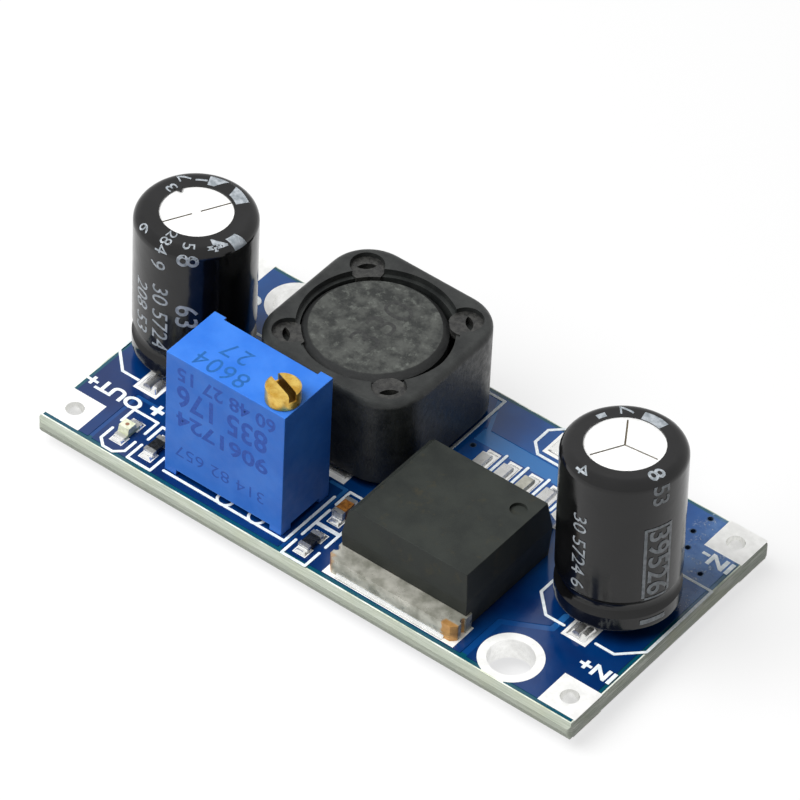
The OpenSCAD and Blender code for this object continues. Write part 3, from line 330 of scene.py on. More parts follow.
def tab_shader():
    """The tab is tinned, but its sheared corners and the ends of its front show bare copper."""
    s = surface("tab_tin", (0.3, 0.3, 0.25), (0.62, 0.61, 0.54), per_mm=0.9, rough=(0.25, 0.45),
                metallic=0.5, bump=0.02, bump_per_mm=1.6, spot=(0.5, 0.44, 0.34), spot_amount=0.12)
    nx, ny = s.normal()[:2]
    x, y = s.parts()[:2]
    corner = s.math("MULTIPLY", s.band(s.math("ABSOLUTE", nx), 0.3, 0.5), s.band(ny, 0.2, 0.4))
    front_y = box_mm("regulator_tab")[1].y
    aside = s.math("SUBTRACT", middle("regulator_tab").x / MM, x)
    ragged = s.math("ADD", aside, s.math("SUBTRACT", s.noise(1.6, 5.0), 0.5))
    ends = s.math("MAXIMUM", s.band(ragged, 3.9, 4.1), s.band(ragged, -4.5, -4.8, 0.0, 0.6))
    front = s.math("MULTIPLY", s.band(y, front_y - 0.5, front_y - 0.35), ends)
    bare = s.math("MAXIMUM", corner, front)
    copper = s.mix(s.noise(3.0, 5.0), srgb(172, 120, 70), srgb(228, 178, 108))
    s.set(Base_Color=s.mix(bare, s.under(), copper))
    return s


def moulding_shader(name, dark, light, tint):
    """Moulded epoxy: matt grey-black with a sandy grain and faint stains."""
    s = Shader(name)
    cloud = s.band(s.noise(0.5, 6.0, 0.6), 0.35, 0.65)
    colour = s.mix(cloud, dark, light)
    stain = s.band(s.noise(0.9, 7.0, 0.7), 0.55, 0.7)
    colour = s.mix(s.math("MULTIPLY", stain, 0.5), colour, tint)
    grain = s.noise(22.0, 3.0)
    colour = s.mix(s.band(grain, 0.62, 0.75, 0.0, 0.35), colour, tuple(c * 1.7 for c in light))
    s.set(Base_Color=colour, Roughness=s.band(cloud, 0.0, 1.0, 0.5, 0.62), Specular_IOR_Level=0.25)
    s.bump(grain, 0.01)
    return s


def ferrite_shader():
    """Dark ferrite with a faint sheen and small pale chips."""
    s = Shader("shield_ferrite")
    cloud = s.band(s.noise(0.8, 7.0, 0.6), 0.3, 0.7)
    colour = s.mix(cloud, srgb(26, 28, 28), srgb(44, 46, 45))
    chips = s.band(s.noise(6.0, 8.0, 0.8), 0.7, 0.76)
    colour = s.mix(s.math("MULTIPLY", chips, 0.5), colour, srgb(150, 150, 146))
    s.set(Base_Color=colour, Roughness=s.band(s.noise(2.0, 6.0), 0.3, 0.7, 0.32, 0.5))
    s.set(Specular_IOR_Level=0.45)
    s.bump(s.noise(2.5, 6.0), 0.03)
    s.bump(s.noise(16.0, 4.0), 0.008)
    return s


def drum_shader():
    """The drum's top: grey ferrite smeared with dried glue, darker towards its rim."""
    s = Shader("drum_ferrite")
    far = s.away(middle("inductor_drum") / MM)
    cloud = s.band(s.noise(1.0, 8.0, 0.65), 0.36, 0.66)
    colour = s.mix(cloud, srgb(36, 38, 37), srgb(74, 76, 73))
    glue = s.band(s.noise(1.9, 9.0, 0.75), 0.52, 0.66)
    colour = s.mix(s.math("MULTIPLY", glue, 0.45), colour, srgb(112, 116, 110))
    pits = s.band(s.noise(4.5, 8.0, 0.7), 0.6, 0.7)
    colour = s.mix(s.math("MULTIPLY", pits, 0.5), colour, srgb(48, 48, 48))
    colour = s.mix(s.band(far, 4.25, 4.4), colour, srgb(40, 41, 41))
    s.set(Base_Color=colour, Roughness=s.band(glue, 0.0, 1.0, 0.5, 0.38), Specular_IOR_Level=0.4)
    s.bump(s.noise(2.6, 8.0, 0.65), 0.03)
    s.bump(s.noise(12.0, 4.0), 0.01)
    return s


def trimmer_shader():
    """Blue plastic with cloudy colour and pale scuffs."""
    s = Shader("trimmer_blue")
    cloud = s.band(s.noise(0.35, 4.0), 0.3, 0.7)
    colour = s.mix(cloud, srgb(42, 108, 205), srgb(58, 122, 216))
    scuff = s.band(s.noise(2.4, 8.0, 0.75), 0.64, 0.76)
    colour = s.mix(s.math("MULTIPLY", scuff, 0.35), colour, srgb(112, 164, 232))
    s.set(Base_Color=colour, Roughness=s.band(s.noise(1.5, 5.0), 0.3, 0.7, 0.34, 0.48))
    s.set(Specular_IOR_Level=0.35)
    s.bump(s.noise(5.0, 4.0), 0.008)
    s.bump(s.noise(20.0, 3.0), 0.004)
    return s


def brass_shader():
    """Turned brass, with painted shade darkening the slot of the head."""
    s = surface("screw_brass", srgb(208, 162, 66), srgb(242, 208, 112), per_mm=1.5, rough=(0.26, 0.42),
                metallic=0.85, bump=0.004, bump_per_mm=18.0, spot=srgb(120, 78, 24), spot_amount=0.35)
    turned = s.noise(1.0, 3.0, stretch=(0.4, 0.4, 16.0))
    s.bump(turned, 0.006)
    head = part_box("trimmer_screw")[1].z / MM
    inside = s.band(s.away(middle("trimmer_screw") / MM), 1.08, 1.0)
    # the slot is darkened as painted shade
    slot = s.math("MULTIPLY", inside, s.band(s.parts()[2], head - 0.04, head - 0.1))
    s.set(Base_Color=s.mix(s.math("MULTIPLY", slot, 0.85), s.under(), srgb(70, 42, 14)))
    return s


def sleeve_shader():
    """Glossy black shrink film with slow waves and a few specks of dust."""
    s = Shader("sleeve_black")
    cloud = s.band(s.noise(0.4, 5.0), 0.35, 0.7)
    colour = s.mix(cloud, srgb(9, 9, 10), srgb(18, 18, 19))
    dust = s.band(s.noise(5.0, 9.0, 0.8), 0.72, 0.78)
    colour = s.mix(s.math("MULTIPLY", dust, 0.6), colour, srgb(150, 150, 150))
    s.set(Base_Color=colour, Roughness=s.band(s.noise(0.9, 5.0), 0.3, 0.7, 0.1, 0.2))
    s.set(Specular_IOR_Level=0.42)
    s.bump(s.noise(0.8, 3.0), 0.02)
    s.bump(s.noise(7.0, 3.0), 0.002)
    return s


def vent_shader(name, can):
    """Bright aluminium with scored lines that lie below its face, darkened grey there as painted shade."""
    axis = can.axis
    top = can.foot + axis * (can.length - SLEEVE_THICK) * MM
    s = surface(name, (0.86, 0.86, 0.85), (0.97, 0.97, 0.96), per_mm=1.2, rough=(0.25, 0.45),
                metallic=0.2, bump=0.006, bump_per_mm=9.0)
    scored = s.band(s.along(axis, top), -0.03, -0.07)
    # the scored lines are darkened as painted shade
    groove_shade = s.mix(s.noise(3.0), srgb(70, 62, 50), srgb(120, 108, 84))
    s.set(Base_Color=s.mix(scored, s.under(), groove_shade))
    return s


def lens_shader():
    """The light's clear resin, with the reddish die glowing through its middle."""
    s = Shader("light_lens")
    far = s.away(middle("led_lens") / MM)
    clear = s.mix(s.band(s.noise(4.0, 5.0), 0.3, 0.7), srgb(204, 206, 176), srgb(232, 236, 210))
    colour = s.mix(s.band(far, 0.11, 0.17), srgb(146, 104, 76), clear)
    s.set(Base_Color=colour, Roughness=s.band(s.noise(3.0), 0.3, 0.7, 0.14, 0.28), Coat_Weight=0.4)
    s.bump(s.noise(5.0, 3.0), 0.01)
    return s


# ---------------------------------------------------------------- the cans, to print on them


def slab(front, back, row):
    """A closed mesh between two equal square grids of points, with that many points a side."""
    deck = row * row
    faces = []
    for i in range(row - 1):
        for j in range(row - 1):
            k = i * row + j
            quad = (k, k + row, k + row + 1, k + 1)
            faces += [quad, tuple(deck + n for n in reversed(quad))]
    rim = ([i * row for i in range(row)] + [deck - row + j for j in range(1, row)]
           + [i * row + row - 1 for i in reversed(range(row - 1))] + list(reversed(range(1, row - 1))))
    for a, b in zip(rim, rim[1:] + rim[:1]):
        faces.append((b, a, a + deck, b + deck))
    mesh = bpy.data.meshes.new("slab")
    mesh.from_pydata(front + back, [], faces)
    return mesh


class Can:
    """The place of a capacitor, to print on its sleeve.

    The lean in degrees, its direction from +X and the width of the vent in millimetres are given;
    the axis, foot, radius and length are measured on the sleeve's node.
    """

    def __init__(self, node, lean, lean_to, vent):
        to = math.radians(lean_to)
        tilt = math.radians(lean)
        self.axis = Vector((math.cos(to) * math.sin(tilt), math.sin(to) * math.sin(tilt), math.cos(tilt)))
        self.turn = UP.rotation_difference(self.axis)
        centre = middle(node)
        points = [v.co - centre for v in frame["nodes"][node].data.vertices]
        along = [p.dot(self.axis) for p in points]
        self.length = (max(along) - min(along)) / MM
        self.foot = centre + self.axis * min(along)
        self.radius = max((p - self.axis * p.dot(self.axis)).length for p in points) / MM
        self.vent = vent
        self.edge = SHOULDER
        self.groove_at, self.groove, self.groove_depth = 1.85, 1.7, 0.36
        self.side = self.length - self.edge
        self.round = self.side + self.edge * math.pi / 2

    def profile(self, s):
        """Radius and height at the distance s up the sleeve, over its shoulder and onto its top."""
        if s < self.side:
            off = s - self.groove_at
            if abs(off) < self.groove / 2:
                bottom = self.radius - self.groove_depth + self.groove / 2
                return min(self.radius, bottom - math.sqrt((self.groove / 2) ** 2 - off ** 2)), s
            return self.radius, s
        if s < self.round:
            a = (s - self.side) / self.edge
            return self.radius - self.edge * (1 - math.cos(a)), self.side + self.edge * math.sin(a)
        flap = self.vent / 2 - 0.4      # the torn corner reaches that far in over the vent
        return max(self.radius - self.edge - (s - self.round), flap), self.length

    def point(self, angle, s, lift):
        """A point on or over the sleeve in metres: angle in degrees from +X, s and lift in millimetres."""
        r, h = self.profile(s)
        if s < self.side:
            out, up = 1.0, 0.0
        elif s < self.round:
            a = (s - self.side) / self.edge
            out, up = math.cos(a), math.sin(a)
        else:
            out, up = 0.0, 1.0
        t = math.radians(angle)
        r += out * lift
        upright = Vector((math.cos(t) * r, math.sin(t) * r, h + up * lift)) * MM
        spot = self.foot + self.turn @ upright
        spot.z = min(spot.z, cad_bounds[1].z)
        return spot

    def column(self, text, angle, top, size, bold=0.0):
        """A line of letters that reads down the sleeve from the distance top."""
        mesh = letters(text, size, bold, INK_THICK)
        reach = max(v.co.x for v in mesh.vertices) / MM
        degrees = 180 / math.pi / self.radius

        def rule(co):
            s = top - reach - co.x / MM
            return self.point(angle + co.y / MM * degrees, s, INK_THICK / 2 + co.z / MM)

        return bend(mesh, rule, 0.3)

    def patch(self, corners, steps=14):
        """A four-sided field given by its corners as (angle, s)."""
        front, back = [], []
        (a0, s0), (a1, s1), (a2, s2), (a3, s3) = corners
        for i in range(steps + 1):
            u = i / steps
            for j in range(steps + 1):
                v = j / steps
                angle = (a0 * (1 - u) + a1 * u) * (1 - v) + (a3 * (1 - u) + a2 * u) * v
                s = (s0 * (1 - u) + s1 * u) * (1 - v) + (s3 * (1 - u) + s2 * u) * v
                front.append(self.point(angle, s, FIELD_THICK))
                back.append(self.point(angle, s, 0.0))
        return slab(front, back, steps + 1)


output_can = Can("output_cap_sleeve", lean=0, lean_to=0, vent=4.82)
input_can = Can("input_cap_sleeve", lean=3.7, lean_to=-36, vent=5.2)

# ---------------------------------------------------------------- a look for every CAD node

lacquer_top = lacquer_shader("lacquer_top", board_top)
lacquer_bottom = lacquer_shader("lacquer_bottom", None)
ink = surface("ink_white", srgb(218, 228, 232), srgb(246, 250, 252), per_mm=3.0, rough=(0.5, 0.7),
              bump=0.006, bump_per_mm=20.0, spot=srgb(150, 165, 185), spot_amount=0.3)
pad_tin = pad_shader()
lead_tin = tinned("lead_tin", (0.22, 0.4), 0.72, 0.006, 0.85)
solder = tinned("solder_bright", (0.08, 0.22), 1.0, 0.01, 0.8)
rubber = surface("seal_rubber", srgb(18, 18, 18), srgb(30, 30, 30), rough=(0.6, 0.8), bump=0.02)
chip_black = surface("chip_glaze", srgb(16, 17, 20), srgb(32, 34, 38), per_mm=4.0, rough=(0.2, 0.35),
                     bump=0.006, spot=srgb(110, 110, 110), spot_amount=0.25)
moulding = moulding_shader("moulded_epoxy", srgb(38, 41, 39), srgb(49, 52, 49), srgb(62, 58, 44))
sleeve = sleeve_shader()

looks = {
    "laminate": laminate_shader(),
    "mask_top": lacquer_top,
    "mask_bottom": lacquer_bottom,
    "silkscreen": ink,
    "vias": surface("via_rim", srgb(20, 50, 90), srgb(70, 90, 110), per_mm=6.0, rough=(0.3, 0.5),
                    metallic=0.3, bump=0.01),
    "solder_fillets": solder,
    "pin_solder": solder,
    "regulator_body": moulding,
    "regulator_tab": tab_shader(),
    "inductor_shield": ferrite_shader(),
    "inductor_drum": drum_shader(),
    "inductor_winding": surface("winding_copper", srgb(120, 58, 26), srgb(190, 104, 54), rough=(0.2, 0.35),
                                metallic=0.8, bump=0.03),
    "inductor_base": surface("base_plastic", srgb(16, 16, 17), srgb(30, 30, 31), rough=(0.45, 0.6),
                             bump=0.01),
    "inductor_glue": surface("pocket_glue", srgb(30, 30, 30), srgb(56, 56, 54), per_mm=3.0,
                             rough=(0.2, 0.45), bump=0.05, bump_per_mm=3.0),
    "trimmer_housing": trimmer_shader(),
    "trimmer_plug": surface("potting", srgb(16, 40, 104), srgb(30, 62, 140), rough=(0.2, 0.4), bump=0.03,
                            bump_per_mm=3.0),
    "trimmer_element": surface("element_ceramic", srgb(214, 212, 204), srgb(238, 236, 228),
                               rough=(0.5, 0.7), bump=0.006),
    "trimmer_screw": brass_shader(),
    "trimmer_carriage": surface("carriage_plastic", srgb(208, 202, 184), srgb(230, 226, 210),
                                rough=(0.4, 0.55), bump=0.01),
    "trimmer_contact": surface("spring_metal", srgb(178, 130, 62), srgb(226, 182, 104), rough=(0.2, 0.35),
                               metallic=0.9, bump=0.004),
    "diode_body": moulding_shader("diode_epoxy", srgb(26, 26, 27), srgb(40, 40, 41), srgb(52, 50, 48)),
    "led_carrier": surface("light_plate", srgb(150, 170, 128), srgb(196, 206, 170), per_mm=5.0,
                           rough=(0.4, 0.6), bump=0.01),
    "led_lens": lens_shader(),
    "led_resistor": chip_black,
    "feedback_resistor": chip_black,
    "chip_capacitor": surface("chip_ceramic", srgb(104, 62, 22), srgb(168, 112, 48), per_mm=5.0,
                              rough=(0.35, 0.5), bump=0.01, spot=srgb(60, 40, 26), spot_amount=0.4),
}
for name in ("trimmer_seal", "input_cap_seal", "output_cap_seal"):
    looks[name] = rubber
looks["input_cap_can"] = vent_shader("input_vent", input_can)
looks["output_cap_can"] = vent_shader("output_vent", output_can)
for name in ("input_cap_sleeve", "output_cap_sleeve"):
    looks[name] = sleeve
for name in ("terminal_in_plus", "terminal_in_minus", "terminal_out_plus", "terminal_out_minus",
             "mounting_lands", "solder_pads"):
    looks[name] = pad_tin
for name in ("regulator_leads", "inductor_terminals", "trimmer_pins", "input_cap_leads", "output_cap_leads",
             "diode_leads", "led_ends", "led_resistor_ends", "feedback_resistor_ends", "chip_capacitor_ends"):
    looks[name] = lead_tin

missing = set(frame["nodes"]) - set(looks)
assert not missing, missing
for node, shader in looks.items():
    wear(node, shader)


# ---------------------------------------------------------------- new pieces


def piece(name, mesh, shader, body="module"):
    """Adds a mesh, drawn in place, as a visible piece that rides on a body."""
    obj = bpy.data.objects.new(name, mesh)
    bpy.context.scene.collection.objects.link(obj)
    obj.data.materials.clear()
    obj.data.materials.append(shader.material)
    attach(obj, body)
    return obj


def letters(text, height, bold=0.0, thick=0.0, space=1.0):
    """Letters as a mesh, centred on the origin in the XY plane; sizes in millimetres."""
    curve = bpy.data.curves.new("letters", "FONT")
    curve.body = text
    curve.align_x = "CENTER"
    curve.align_y = "CENTER"
    curve.size = height * FONT_SIZE * MM
    curve.offset = bold * MM
    curve.extrude = thick / 2 * MM
    curve.space_character = space
    curve.resolution_u = 4
    holder = bpy.data.objects.new("letters", curve)
    bpy.context.scene.collection.objects.link(holder)
    graph = bpy.context.evaluated_depsgraph_get()
    mesh = bpy.data.meshes.new_from_object(holder.evaluated_get(graph))
    bpy.data.objects.remove(holder)
    bpy.data.curves.remove(curve)
    return mesh


def bend(mesh, rule, longest):
    """Cuts edges longer than that (mm) and moves every vertex by the rule."""
    bm = bmesh.new()
    bm.from_mesh(mesh)
    bmesh.ops.remove_doubles(bm, verts=bm.verts, dist=MERGE)
    bmesh.ops.triangulate(bm, faces=bm.faces)
    for _ in range(5):
        long = [e for e in bm.edges if e.calc_length() > longest * MM]
        if not long:
            break
        bmesh.ops.subdivide_edges(bm, edges=long, cuts=1)
        bmesh.ops.triangulate(bm, faces=bm.faces)
    for v in bm.verts:
        v.co = rule(v.co)
    bm.to_mesh(mesh)
    bm.free()
    return mesh


def fuse(meshes):
    """One mesh from several."""
    bm = bmesh.new()
    for m in meshes:
        bm.from_mesh(m)
    bmesh.ops.remove_doubles(bm, verts=bm.verts, dist=MERGE)
    out = bpy.data.meshes.new("fused")
    bm.to_mesh(out)
    bm.free()
    for m in meshes:
        bpy.data.meshes.remove(m)
    return out


def flat_text(text, x, y, z, height, turn=0.0, bold=0.0, thick=0.02, stretch=1.0, space=1.0):
    """Letters lying on a level face, in millimetres."""
    mesh = letters(text, height, bold, thick, space)
    mesh.transform(Matrix.Translation(Vector((x, y, z)) * MM) @ Matrix.Rotation(math.radians(turn), 4, "Z")
                   @ Matrix.Diagonal((stretch, 1, 1, 1)))
    return mesh


def softened(node, shader, width, shortest=0.8):
    """A copy of a CAD piece with its outer edges rounded, shown in the piece's place.

    Edges shorter than shortest, and those that lie deeper than 0.7 mm inside, stay sharp.
    """
    sharp, deepest = 30, 0.7
    source = frame["nodes"][node].data
    low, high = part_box(node)
    bm = bmesh.new()
    bm.from_mesh(source)
    bmesh.ops.remove_doubles(bm, verts=bm.verts, dist=1e-7)
    bmesh.ops.dissolve_limit(bm, angle_limit=math.radians(0.5), verts=bm.verts, edges=bm.edges)

    def outer(v):
        return min(abs(v.co[i] - side[i]) for i in range(3) for side in (low, high)) < deepest * MM

    edges = [e for e in bm.edges if len(e.link_faces) == 2 and e.calc_face_angle() > math.radians(sharp)
             and e.calc_length() > shortest * MM and all(outer(v) for v in e.verts)]
    rounded = bmesh.ops.bevel(bm, geom=edges, offset=width * MM, offset_type="OFFSET", segments=3,
                              profile=0.5, affect="EDGES", clamp_overlap=True)
    for face in rounded["faces"]:
        face.smooth = True
    mesh = bpy.data.meshes.new(node + "_soft")
    bm.to_mesh(mesh)
    bm.free()
    obj = piece(node + "_soft", mesh, shader)
    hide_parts(node)
    return obj


softened("trimmer_housing", looks["trimmer_housing"], 0.16)
softened("regulator_body", looks["regulator_body"], 0.13, shortest=1.5)

# Board marks: only the plain words that tell the terminals apart
mark_z, mark_thick = board_top + 0.014, 0.028
marks = []
for text, node, shift, rise, stretch in (("IN+", "terminal_in_plus", 0.02, -2.9, 1.18),
                                         ("IN-", "terminal_in_minus", -0.1, 2.15, 1.3),
                                         ("OUT+", "terminal_out_plus", -0.95, -2.85, 1.18),
                                         ("OUT-", "terminal_out_minus", -0.95, 2.15, 1.18)):
    at = middle(node) / MM
    marks.append(flat_text(text, at.x + shift, at.y + rise, mark_z, 0.98, bold=0.045, thick=mark_thick,
                           stretch=stretch))
at = middle("output_cap_leads") / MM
marks.append(flat_text("+", at.x - 1.72, at.y + 5.55, mark_z, 1.3, bold=0.07, thick=mark_thick))
piece("board_marks", fuse(marks), ink)

# Marks on the trimmer: shallow, a little darker than the plastic, and upside down as on the part
trim_high = box_mm("trimmer_housing")[1]
stamp_thick = 0.004
stamp = {"per_mm": 6.0, "rough": (0.45, 0.6), "bump": 0.01}
stamp_top = surface("stamp_top", srgb(24, 84, 150), srgb(34, 98, 168), **stamp)
stamp_face = surface("stamp_face", srgb(26, 72, 166), srgb(36, 86, 182), **stamp)
rows = []
for text, left, back_off, size, space in (("27", 3.6, 2.7, 1.3, 1.3), ("8604", 3.7, 0.98, 1.35, 1.1)):
    rows.append(flat_text(text, trim_high.x - left, trim_high.y - back_off, trim_high.z + stamp_thick / 2,
                          size, thick=stamp_thick, space=space))
piece("trimmer_top_marks", fuse(rows), stamp_top)
rows = []
for text, down, size, width, bold in (("60 48 27 15", 1.25, 1.1, 7.9, 0.03),
                                      ("835 176", 3.05, 1.75, 7.3, 0.05),
                                      ("9061724", 5.1, 1.2, 7.4, 0.04),
                                      ("314 82 657", 7.95, 0.95, 7.2, -0.01)):
    mesh = letters(text, size, bold, stamp_thick)
    reach = max(v.co.x for v in mesh.vertices) - min(v.co.x for v in mesh.vertices)
    place = Vector((trim_high.x - 0.9 - width / 2, trim_high.y + stamp_thick / 2, trim_high.z - down)) * MM
    mesh.transform(Matrix.Translation(place) @ Matrix.Rotation(-math.pi / 2, 4, "X")
                   @ Matrix.Diagonal((width * MM / reach, 1, 1, 1)))
    rows.append(mesh)
piece("trimmer_face_marks", fuse(rows), stamp_face)

# The plain number on the drum
drum = middle("inductor_drum") / MM
drum_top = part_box("inductor_drum")[1].z / MM
drum_mark = surface("drum_mark", srgb(36, 37, 37), srgb(52, 53, 52), per_mm=4.0, rough=(0.45, 0.6), bump=0.02)
number = flat_text("330", drum.x - 0.35, drum.y - 0.4, drum_top + 0.003, 2.1, turn=-90, bold=-0.02,
                   thick=0.006, stretch=1.15)
piece("drum_number", fuse([number]), drum_mark)

# ---------------------------------------------------------------- printing on the sleeves

# A column has its text, its angle round the can, how far up the sleeve it starts, its size and how bold
# it is. A patch has its corners.
sleeve_ink = surface("sleeve_ink", srgb(128, 136, 142), srgb(176, 182, 188), per_mm=3.0, rough=(0.25, 0.45),
                     bump=0.004, spot=srgb(60, 62, 64), spot_amount=0.5)
piece("output_cap_print", fuse([
    output_can.column("3", 344, 12.75, 1.15),
    output_can.column("7", 322, 12.3, 1.1),
    output_can.column("1", 302, 12.3, 1.1),
    output_can.column("6", 64, 11.8, 0.95),
    output_can.column("284", 94, 12.75, 0.95),
    output_can.column("9", 91, 10.1, 1.15),
    output_can.column("30 5724", 94, 8.0, 1.2),
    output_can.column("208 53", 71, 7.4, 1.15),
    output_can.column("5", 120, 12.1, 1.0),
    output_can.column("8", 120, 11.2, 1.45, 0.02),
    output_can.column("63", 120, 6.8, 1.45, 0.02),
    output_can.column("4", 150, 12.35, 1.5, 0.04),
    output_can.patch([(234, 3.0), (294, 3.0), (294, 11.75), (234, 11.75)]),
    output_can.patch([(234, 11.75), (262, 11.75), (256, 12.6), (234, 12.6)]),
    output_can.patch([(272, 11.75), (294, 11.75), (294, 12.6), (284, 12.6)]),
    output_can.patch([(167, 10.95), (182, 10.95), (178, 12.0), (164, 12.0)]),
]), sleeve_ink)
piece("input_cap_print", fuse([
    input_can.column("4", 80, 12.6, 1.1),
    input_can.column("30 5724 61", 85, 8.6, 1.05),
    input_can.column("8", 160, 12.9, 1.3, 0.02),
    input_can.column("53", 160, 11.6, 1.2, 0.02),
    input_can.column("39526", 160.5, 8.1, 1.5, 0.03),
    input_can.column("7", 303, 13.1, 1.2),
    input_can.patch([(252, 3.0), (284, 3.0), (284, 13.3), (252, 13.3)]),
    input_can.patch([(330, 12.7), (342, 12.7), (342, 13.1), (330, 13.1)]),
    input_can.patch([(146, 2.5), (149, 2.5), (149, 8.35), (146, 8.35)]),
    input_can.patch([(172, 2.5), (175, 2.5), (175, 8.35), (172, 8.35)]),
    input_can.patch([(149, 2.5), (172, 2.5), (172, 2.7), (149, 2.7)]),
    input_can.patch([(149, 8.15), (172, 8.15), (172, 8.35), (149, 8.35)]),
    input_can.patch([(146, 0.55), (172, 0.55), (172, 0.9), (146, 0.9)]),
]), sleeve_ink)

# A torn corner of the output sleeve that lies over the edge of the vent
tear = bpy.data.meshes.new("tear")
tear.from_pydata([output_can.point(337 + turn, output_can.round + on, up) for up in (0.0, 0.05)
                  for turn, on in ((-7, 0.86), (7, 0.86), (1, 1.3))],
                 [], [(0, 2, 1), (3, 4, 5), (0, 1, 4, 3), (1, 2, 5, 4), (2, 0, 3, 5)])
piece("sleeve_tear", tear, sleeve)

# ---------------------------------------------------------------- solder


def dome(x, y, z, length, width, height, steps=10):
    """A low pillow of solder on a pad; sizes in millimetres."""
    front, back = [], []
    for i in range(steps + 1):
        for j in range(steps + 1):
            u, v = 2 * i / steps - 1, 2 * j / steps - 1
            rise = (1 - u ** 4) * (1 - v ** 4)
            front.append(Vector((u * length / 2, v * width / 2, height * rise)) * MM)
            back.append(Vector((u * length / 2, v * width / 2, -0.01)) * MM)
    mesh = slab(front, back, steps + 1)
    mesh.transform(Matrix.Translation(Vector((x, y, z)) * MM))
    for p in mesh.polygons:
        p.use_smooth = p.normal.z > 0.05
    return mesh


beads = []
low, high = box_mm("regulator_leads")
pitch = (high.x - low.x - 0.7) / 4
for i in range(5):
    beads.append(dome(low.x + 0.25 + i * pitch, low.y + 0.95, pad_top - 0.005, 0.85, 2.9, 0.09))
for node in ("input_cap_leads", "output_cap_leads"):
    low, high = box_mm(node)
    for y in (low.y + 0.7, high.y - 0.7):
        beads.append(dome((low.x + high.x) / 2, y, pad_top - 0.01, 1.5, 1.5, 0.42))
low, high = box_mm("diode_leads")
for x in (low.x - 0.25, high.x + 0.25):
    beads.append(dome(x, (low.y + high.y) / 2, pad_top - 0.01, 1.3, 1.7, 0.16))
for node in ("led_ends", "led_resistor_ends", "feedback_resistor_ends", "chip_capacitor_ends"):
    low, high = box_mm(node)
    for y in (low.y - 0.12, high.y + 0.12):
        beads.append(dome((low.x + high.x) / 2, y, pad_top - 0.01, 0.92, 0.6, 0.2))
piece("solder_beads", fuse(beads), solder)

# ---------------------------------------------------------------- stage, light and camera

low, high = cad_bounds
centre = (low + high) / 2
size = (high - low).length

DOME = 0.12             # the strength of the sky that lights the object
SKY_IN_MIRRORS = 0.72   # what is added to it where a mirror shows the sky
PAPER = 0.86            # the floor's own grey
BOUNCE = 0.2            # the grey that the floor has for the light it throws back on the object
PAPER_GLOW = 0.72       # how much of the floor that the camera and mirrors see is plain white
FLOOR_REACH = 40        # half the floor's side, in the object's sizes


def ray_kind(tree, *kinds):
    """1 for the named kinds of ray, 0 for others."""
    path = tree.nodes.new("ShaderNodeLightPath")
    socket = path.outputs[kinds[0]]
    for kind in kinds[1:]:
        add = tree.nodes.new("ShaderNodeMath")
        add.operation = "MAXIMUM"
        tree.links.new(socket, add.inputs[0])
        tree.links.new(path.outputs[kind], add.inputs[1])
        socket = add.outputs["Value"]
    return socket


def floor():
    """A pale floor that keeps the object's shadow and looks white to the camera."""
    mesh = bpy.data.meshes.new("floor")
    reach = size * FLOOR_REACH
    corners = [(x * reach, y * reach, low.z) for x, y in ((-1, -1), (1, -1), (1, 1), (-1, 1))]
    mesh.from_pydata(corners, [], [(0, 1, 2, 3)])
    obj = bpy.data.objects.new("floor", mesh)
    bpy.context.scene.collection.objects.link(obj)
    material = bpy.data.materials.new("floor_paper")
    material.use_nodes = True
    tree = material.node_tree
    paper = tree.nodes["Principled BSDF"]
    shade = tree.nodes.new("ShaderNodeMix")
    shade.data_type = "RGBA"
    tree.links.new(ray_kind(tree, "Is Diffuse Ray"), shade.inputs["Factor"])
    shade.inputs[6].default_value = (PAPER, PAPER, PAPER, 1)
    shade.inputs[7].default_value = (BOUNCE, BOUNCE, BOUNCE, 1)
    tree.links.new(shade.outputs[2], paper.inputs["Base Color"])
    paper.inputs["Roughness"].default_value = 0.9
    paper.inputs["Specular IOR Level"].default_value = 0.1
    glow = tree.nodes.new("ShaderNodeEmission")
    blend = tree.nodes.new("ShaderNodeMixShader")
    amount = tree.nodes.new("ShaderNodeMath")
    amount.operation = "MULTIPLY"
    tree.links.new(ray_kind(tree, "Is Camera Ray", "Is Glossy Ray", "Is Transmission Ray"), amount.inputs[0])
    amount.inputs[1].default_value = PAPER_GLOW
    tree.links.new(amount.outputs["Value"], blend.inputs["Fac"])
    tree.links.new(paper.outputs["BSDF"], blend.inputs[1])
    tree.links.new(glow.outputs["Emission"], blend.inputs[2])
    tree.links.new(blend.outputs["Shader"], tree.nodes["Material Output"].inputs["Surface"])
    mesh.materials.append(material)


floor()


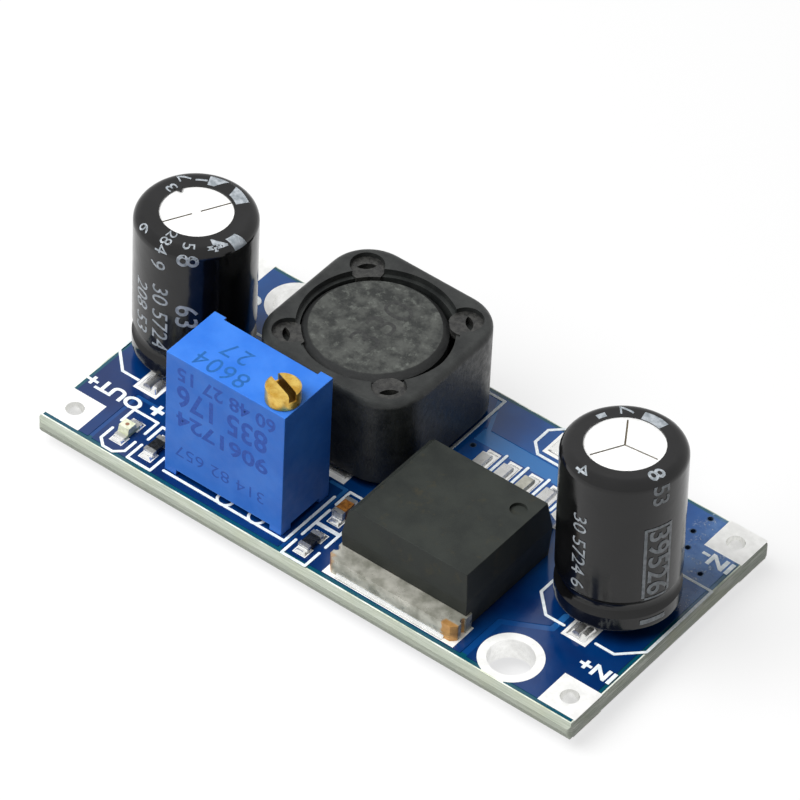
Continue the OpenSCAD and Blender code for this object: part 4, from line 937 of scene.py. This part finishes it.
def world():
    """White to the camera and through glass, nearly white in mirrors and an even, dim dome for the rest."""
    scene = bpy.context.scene
    scene.world = bpy.data.worlds.new("dome")
    scene.world.use_nodes = True
    tree = scene.world.node_tree
    back = tree.nodes["Background"]
    back.inputs["Color"].default_value = (1, 1, 1, 1)
    strength = tree.nodes.new("ShaderNodeMapRange")
    tree.links.new(ray_kind(tree, "Is Camera Ray", "Is Transmission Ray"), strength.inputs["Value"])
    strength.inputs["To Min"].default_value = DOME
    strength.inputs["To Max"].default_value = 1.0
    mirror = tree.nodes.new("ShaderNodeMapRange")
    tree.links.new(ray_kind(tree, "Is Glossy Ray"), mirror.inputs["Value"])
    mirror.inputs["To Max"].default_value = SKY_IN_MIRRORS
    total = tree.nodes.new("ShaderNodeMath")
    tree.links.new(strength.outputs["Result"], total.inputs[0])
    tree.links.new(mirror.outputs["Result"], total.inputs[1])
    tree.links.new(total.outputs["Value"], back.inputs["Strength"])


world()


def outward(azimuth, elevation):
    """The direction from the object to a place at that azimuth and elevation, in degrees."""
    a, e = math.radians(azimuth), math.radians(elevation)
    return Vector((math.sin(a) * math.cos(e), -math.cos(a) * math.cos(e), math.sin(e)))


def soft_box(name, azimuth, elevation, distance, side, power):
    """A square light aimed at the object, which mirrors don't show. Lengths are in the object's sizes."""
    back = outward(azimuth, elevation)
    data = bpy.data.lights.new(name, "AREA")
    data.shape = "RECTANGLE"
    data.size = side * size
    data.size_y = side * size
    data.energy = power
    obj = bpy.data.objects.new(name, data)
    obj.location = centre + back * distance * size
    obj.rotation_mode = "QUATERNION"
    obj.rotation_quaternion = (-back).to_track_quat("-Z", "Y")
    obj.visible_glossy = False
    bpy.context.scene.collection.objects.link(obj)


soft_box("key", 142, 56, distance=6, side=5, power=1.36)
soft_box("fill", 100, 84, distance=6, side=4, power=0.2)

# The camera stands where the photographer's did, with a long lens
CAMERA_AT = Vector((-180.89, 249.52, 303.62)) * MM
CAMERA_AZIMUTH = 215.999    # in degrees, as are the next two
CAMERA_ELEVATION = 43.773
CAMERA_ROLL = 2.831
CAMERA_LENS = 304.4         # in millimetres, as is the next
CAMERA_SENSOR = 36
CAMERA_SEES = (0.01, 10)    # from and to, in metres
camera = bpy.data.objects.new("camera", bpy.data.cameras.new("camera"))
bpy.context.scene.collection.objects.link(camera)
roll = Matrix.Rotation(math.radians(CAMERA_ROLL), 3, "Z").to_quaternion()
camera.rotation_mode = "QUATERNION"
camera.rotation_quaternion = (-outward(CAMERA_AZIMUTH, CAMERA_ELEVATION)).to_track_quat("-Z", "Y") @ roll
camera.location = CAMERA_AT
camera.data.sensor_width = CAMERA_SENSOR
camera.data.lens = CAMERA_LENS
camera.data.clip_start, camera.data.clip_end = CAMERA_SEES
bpy.context.scene.camera = camera
bpy.context.scene.view_settings.view_transform = "Standard"
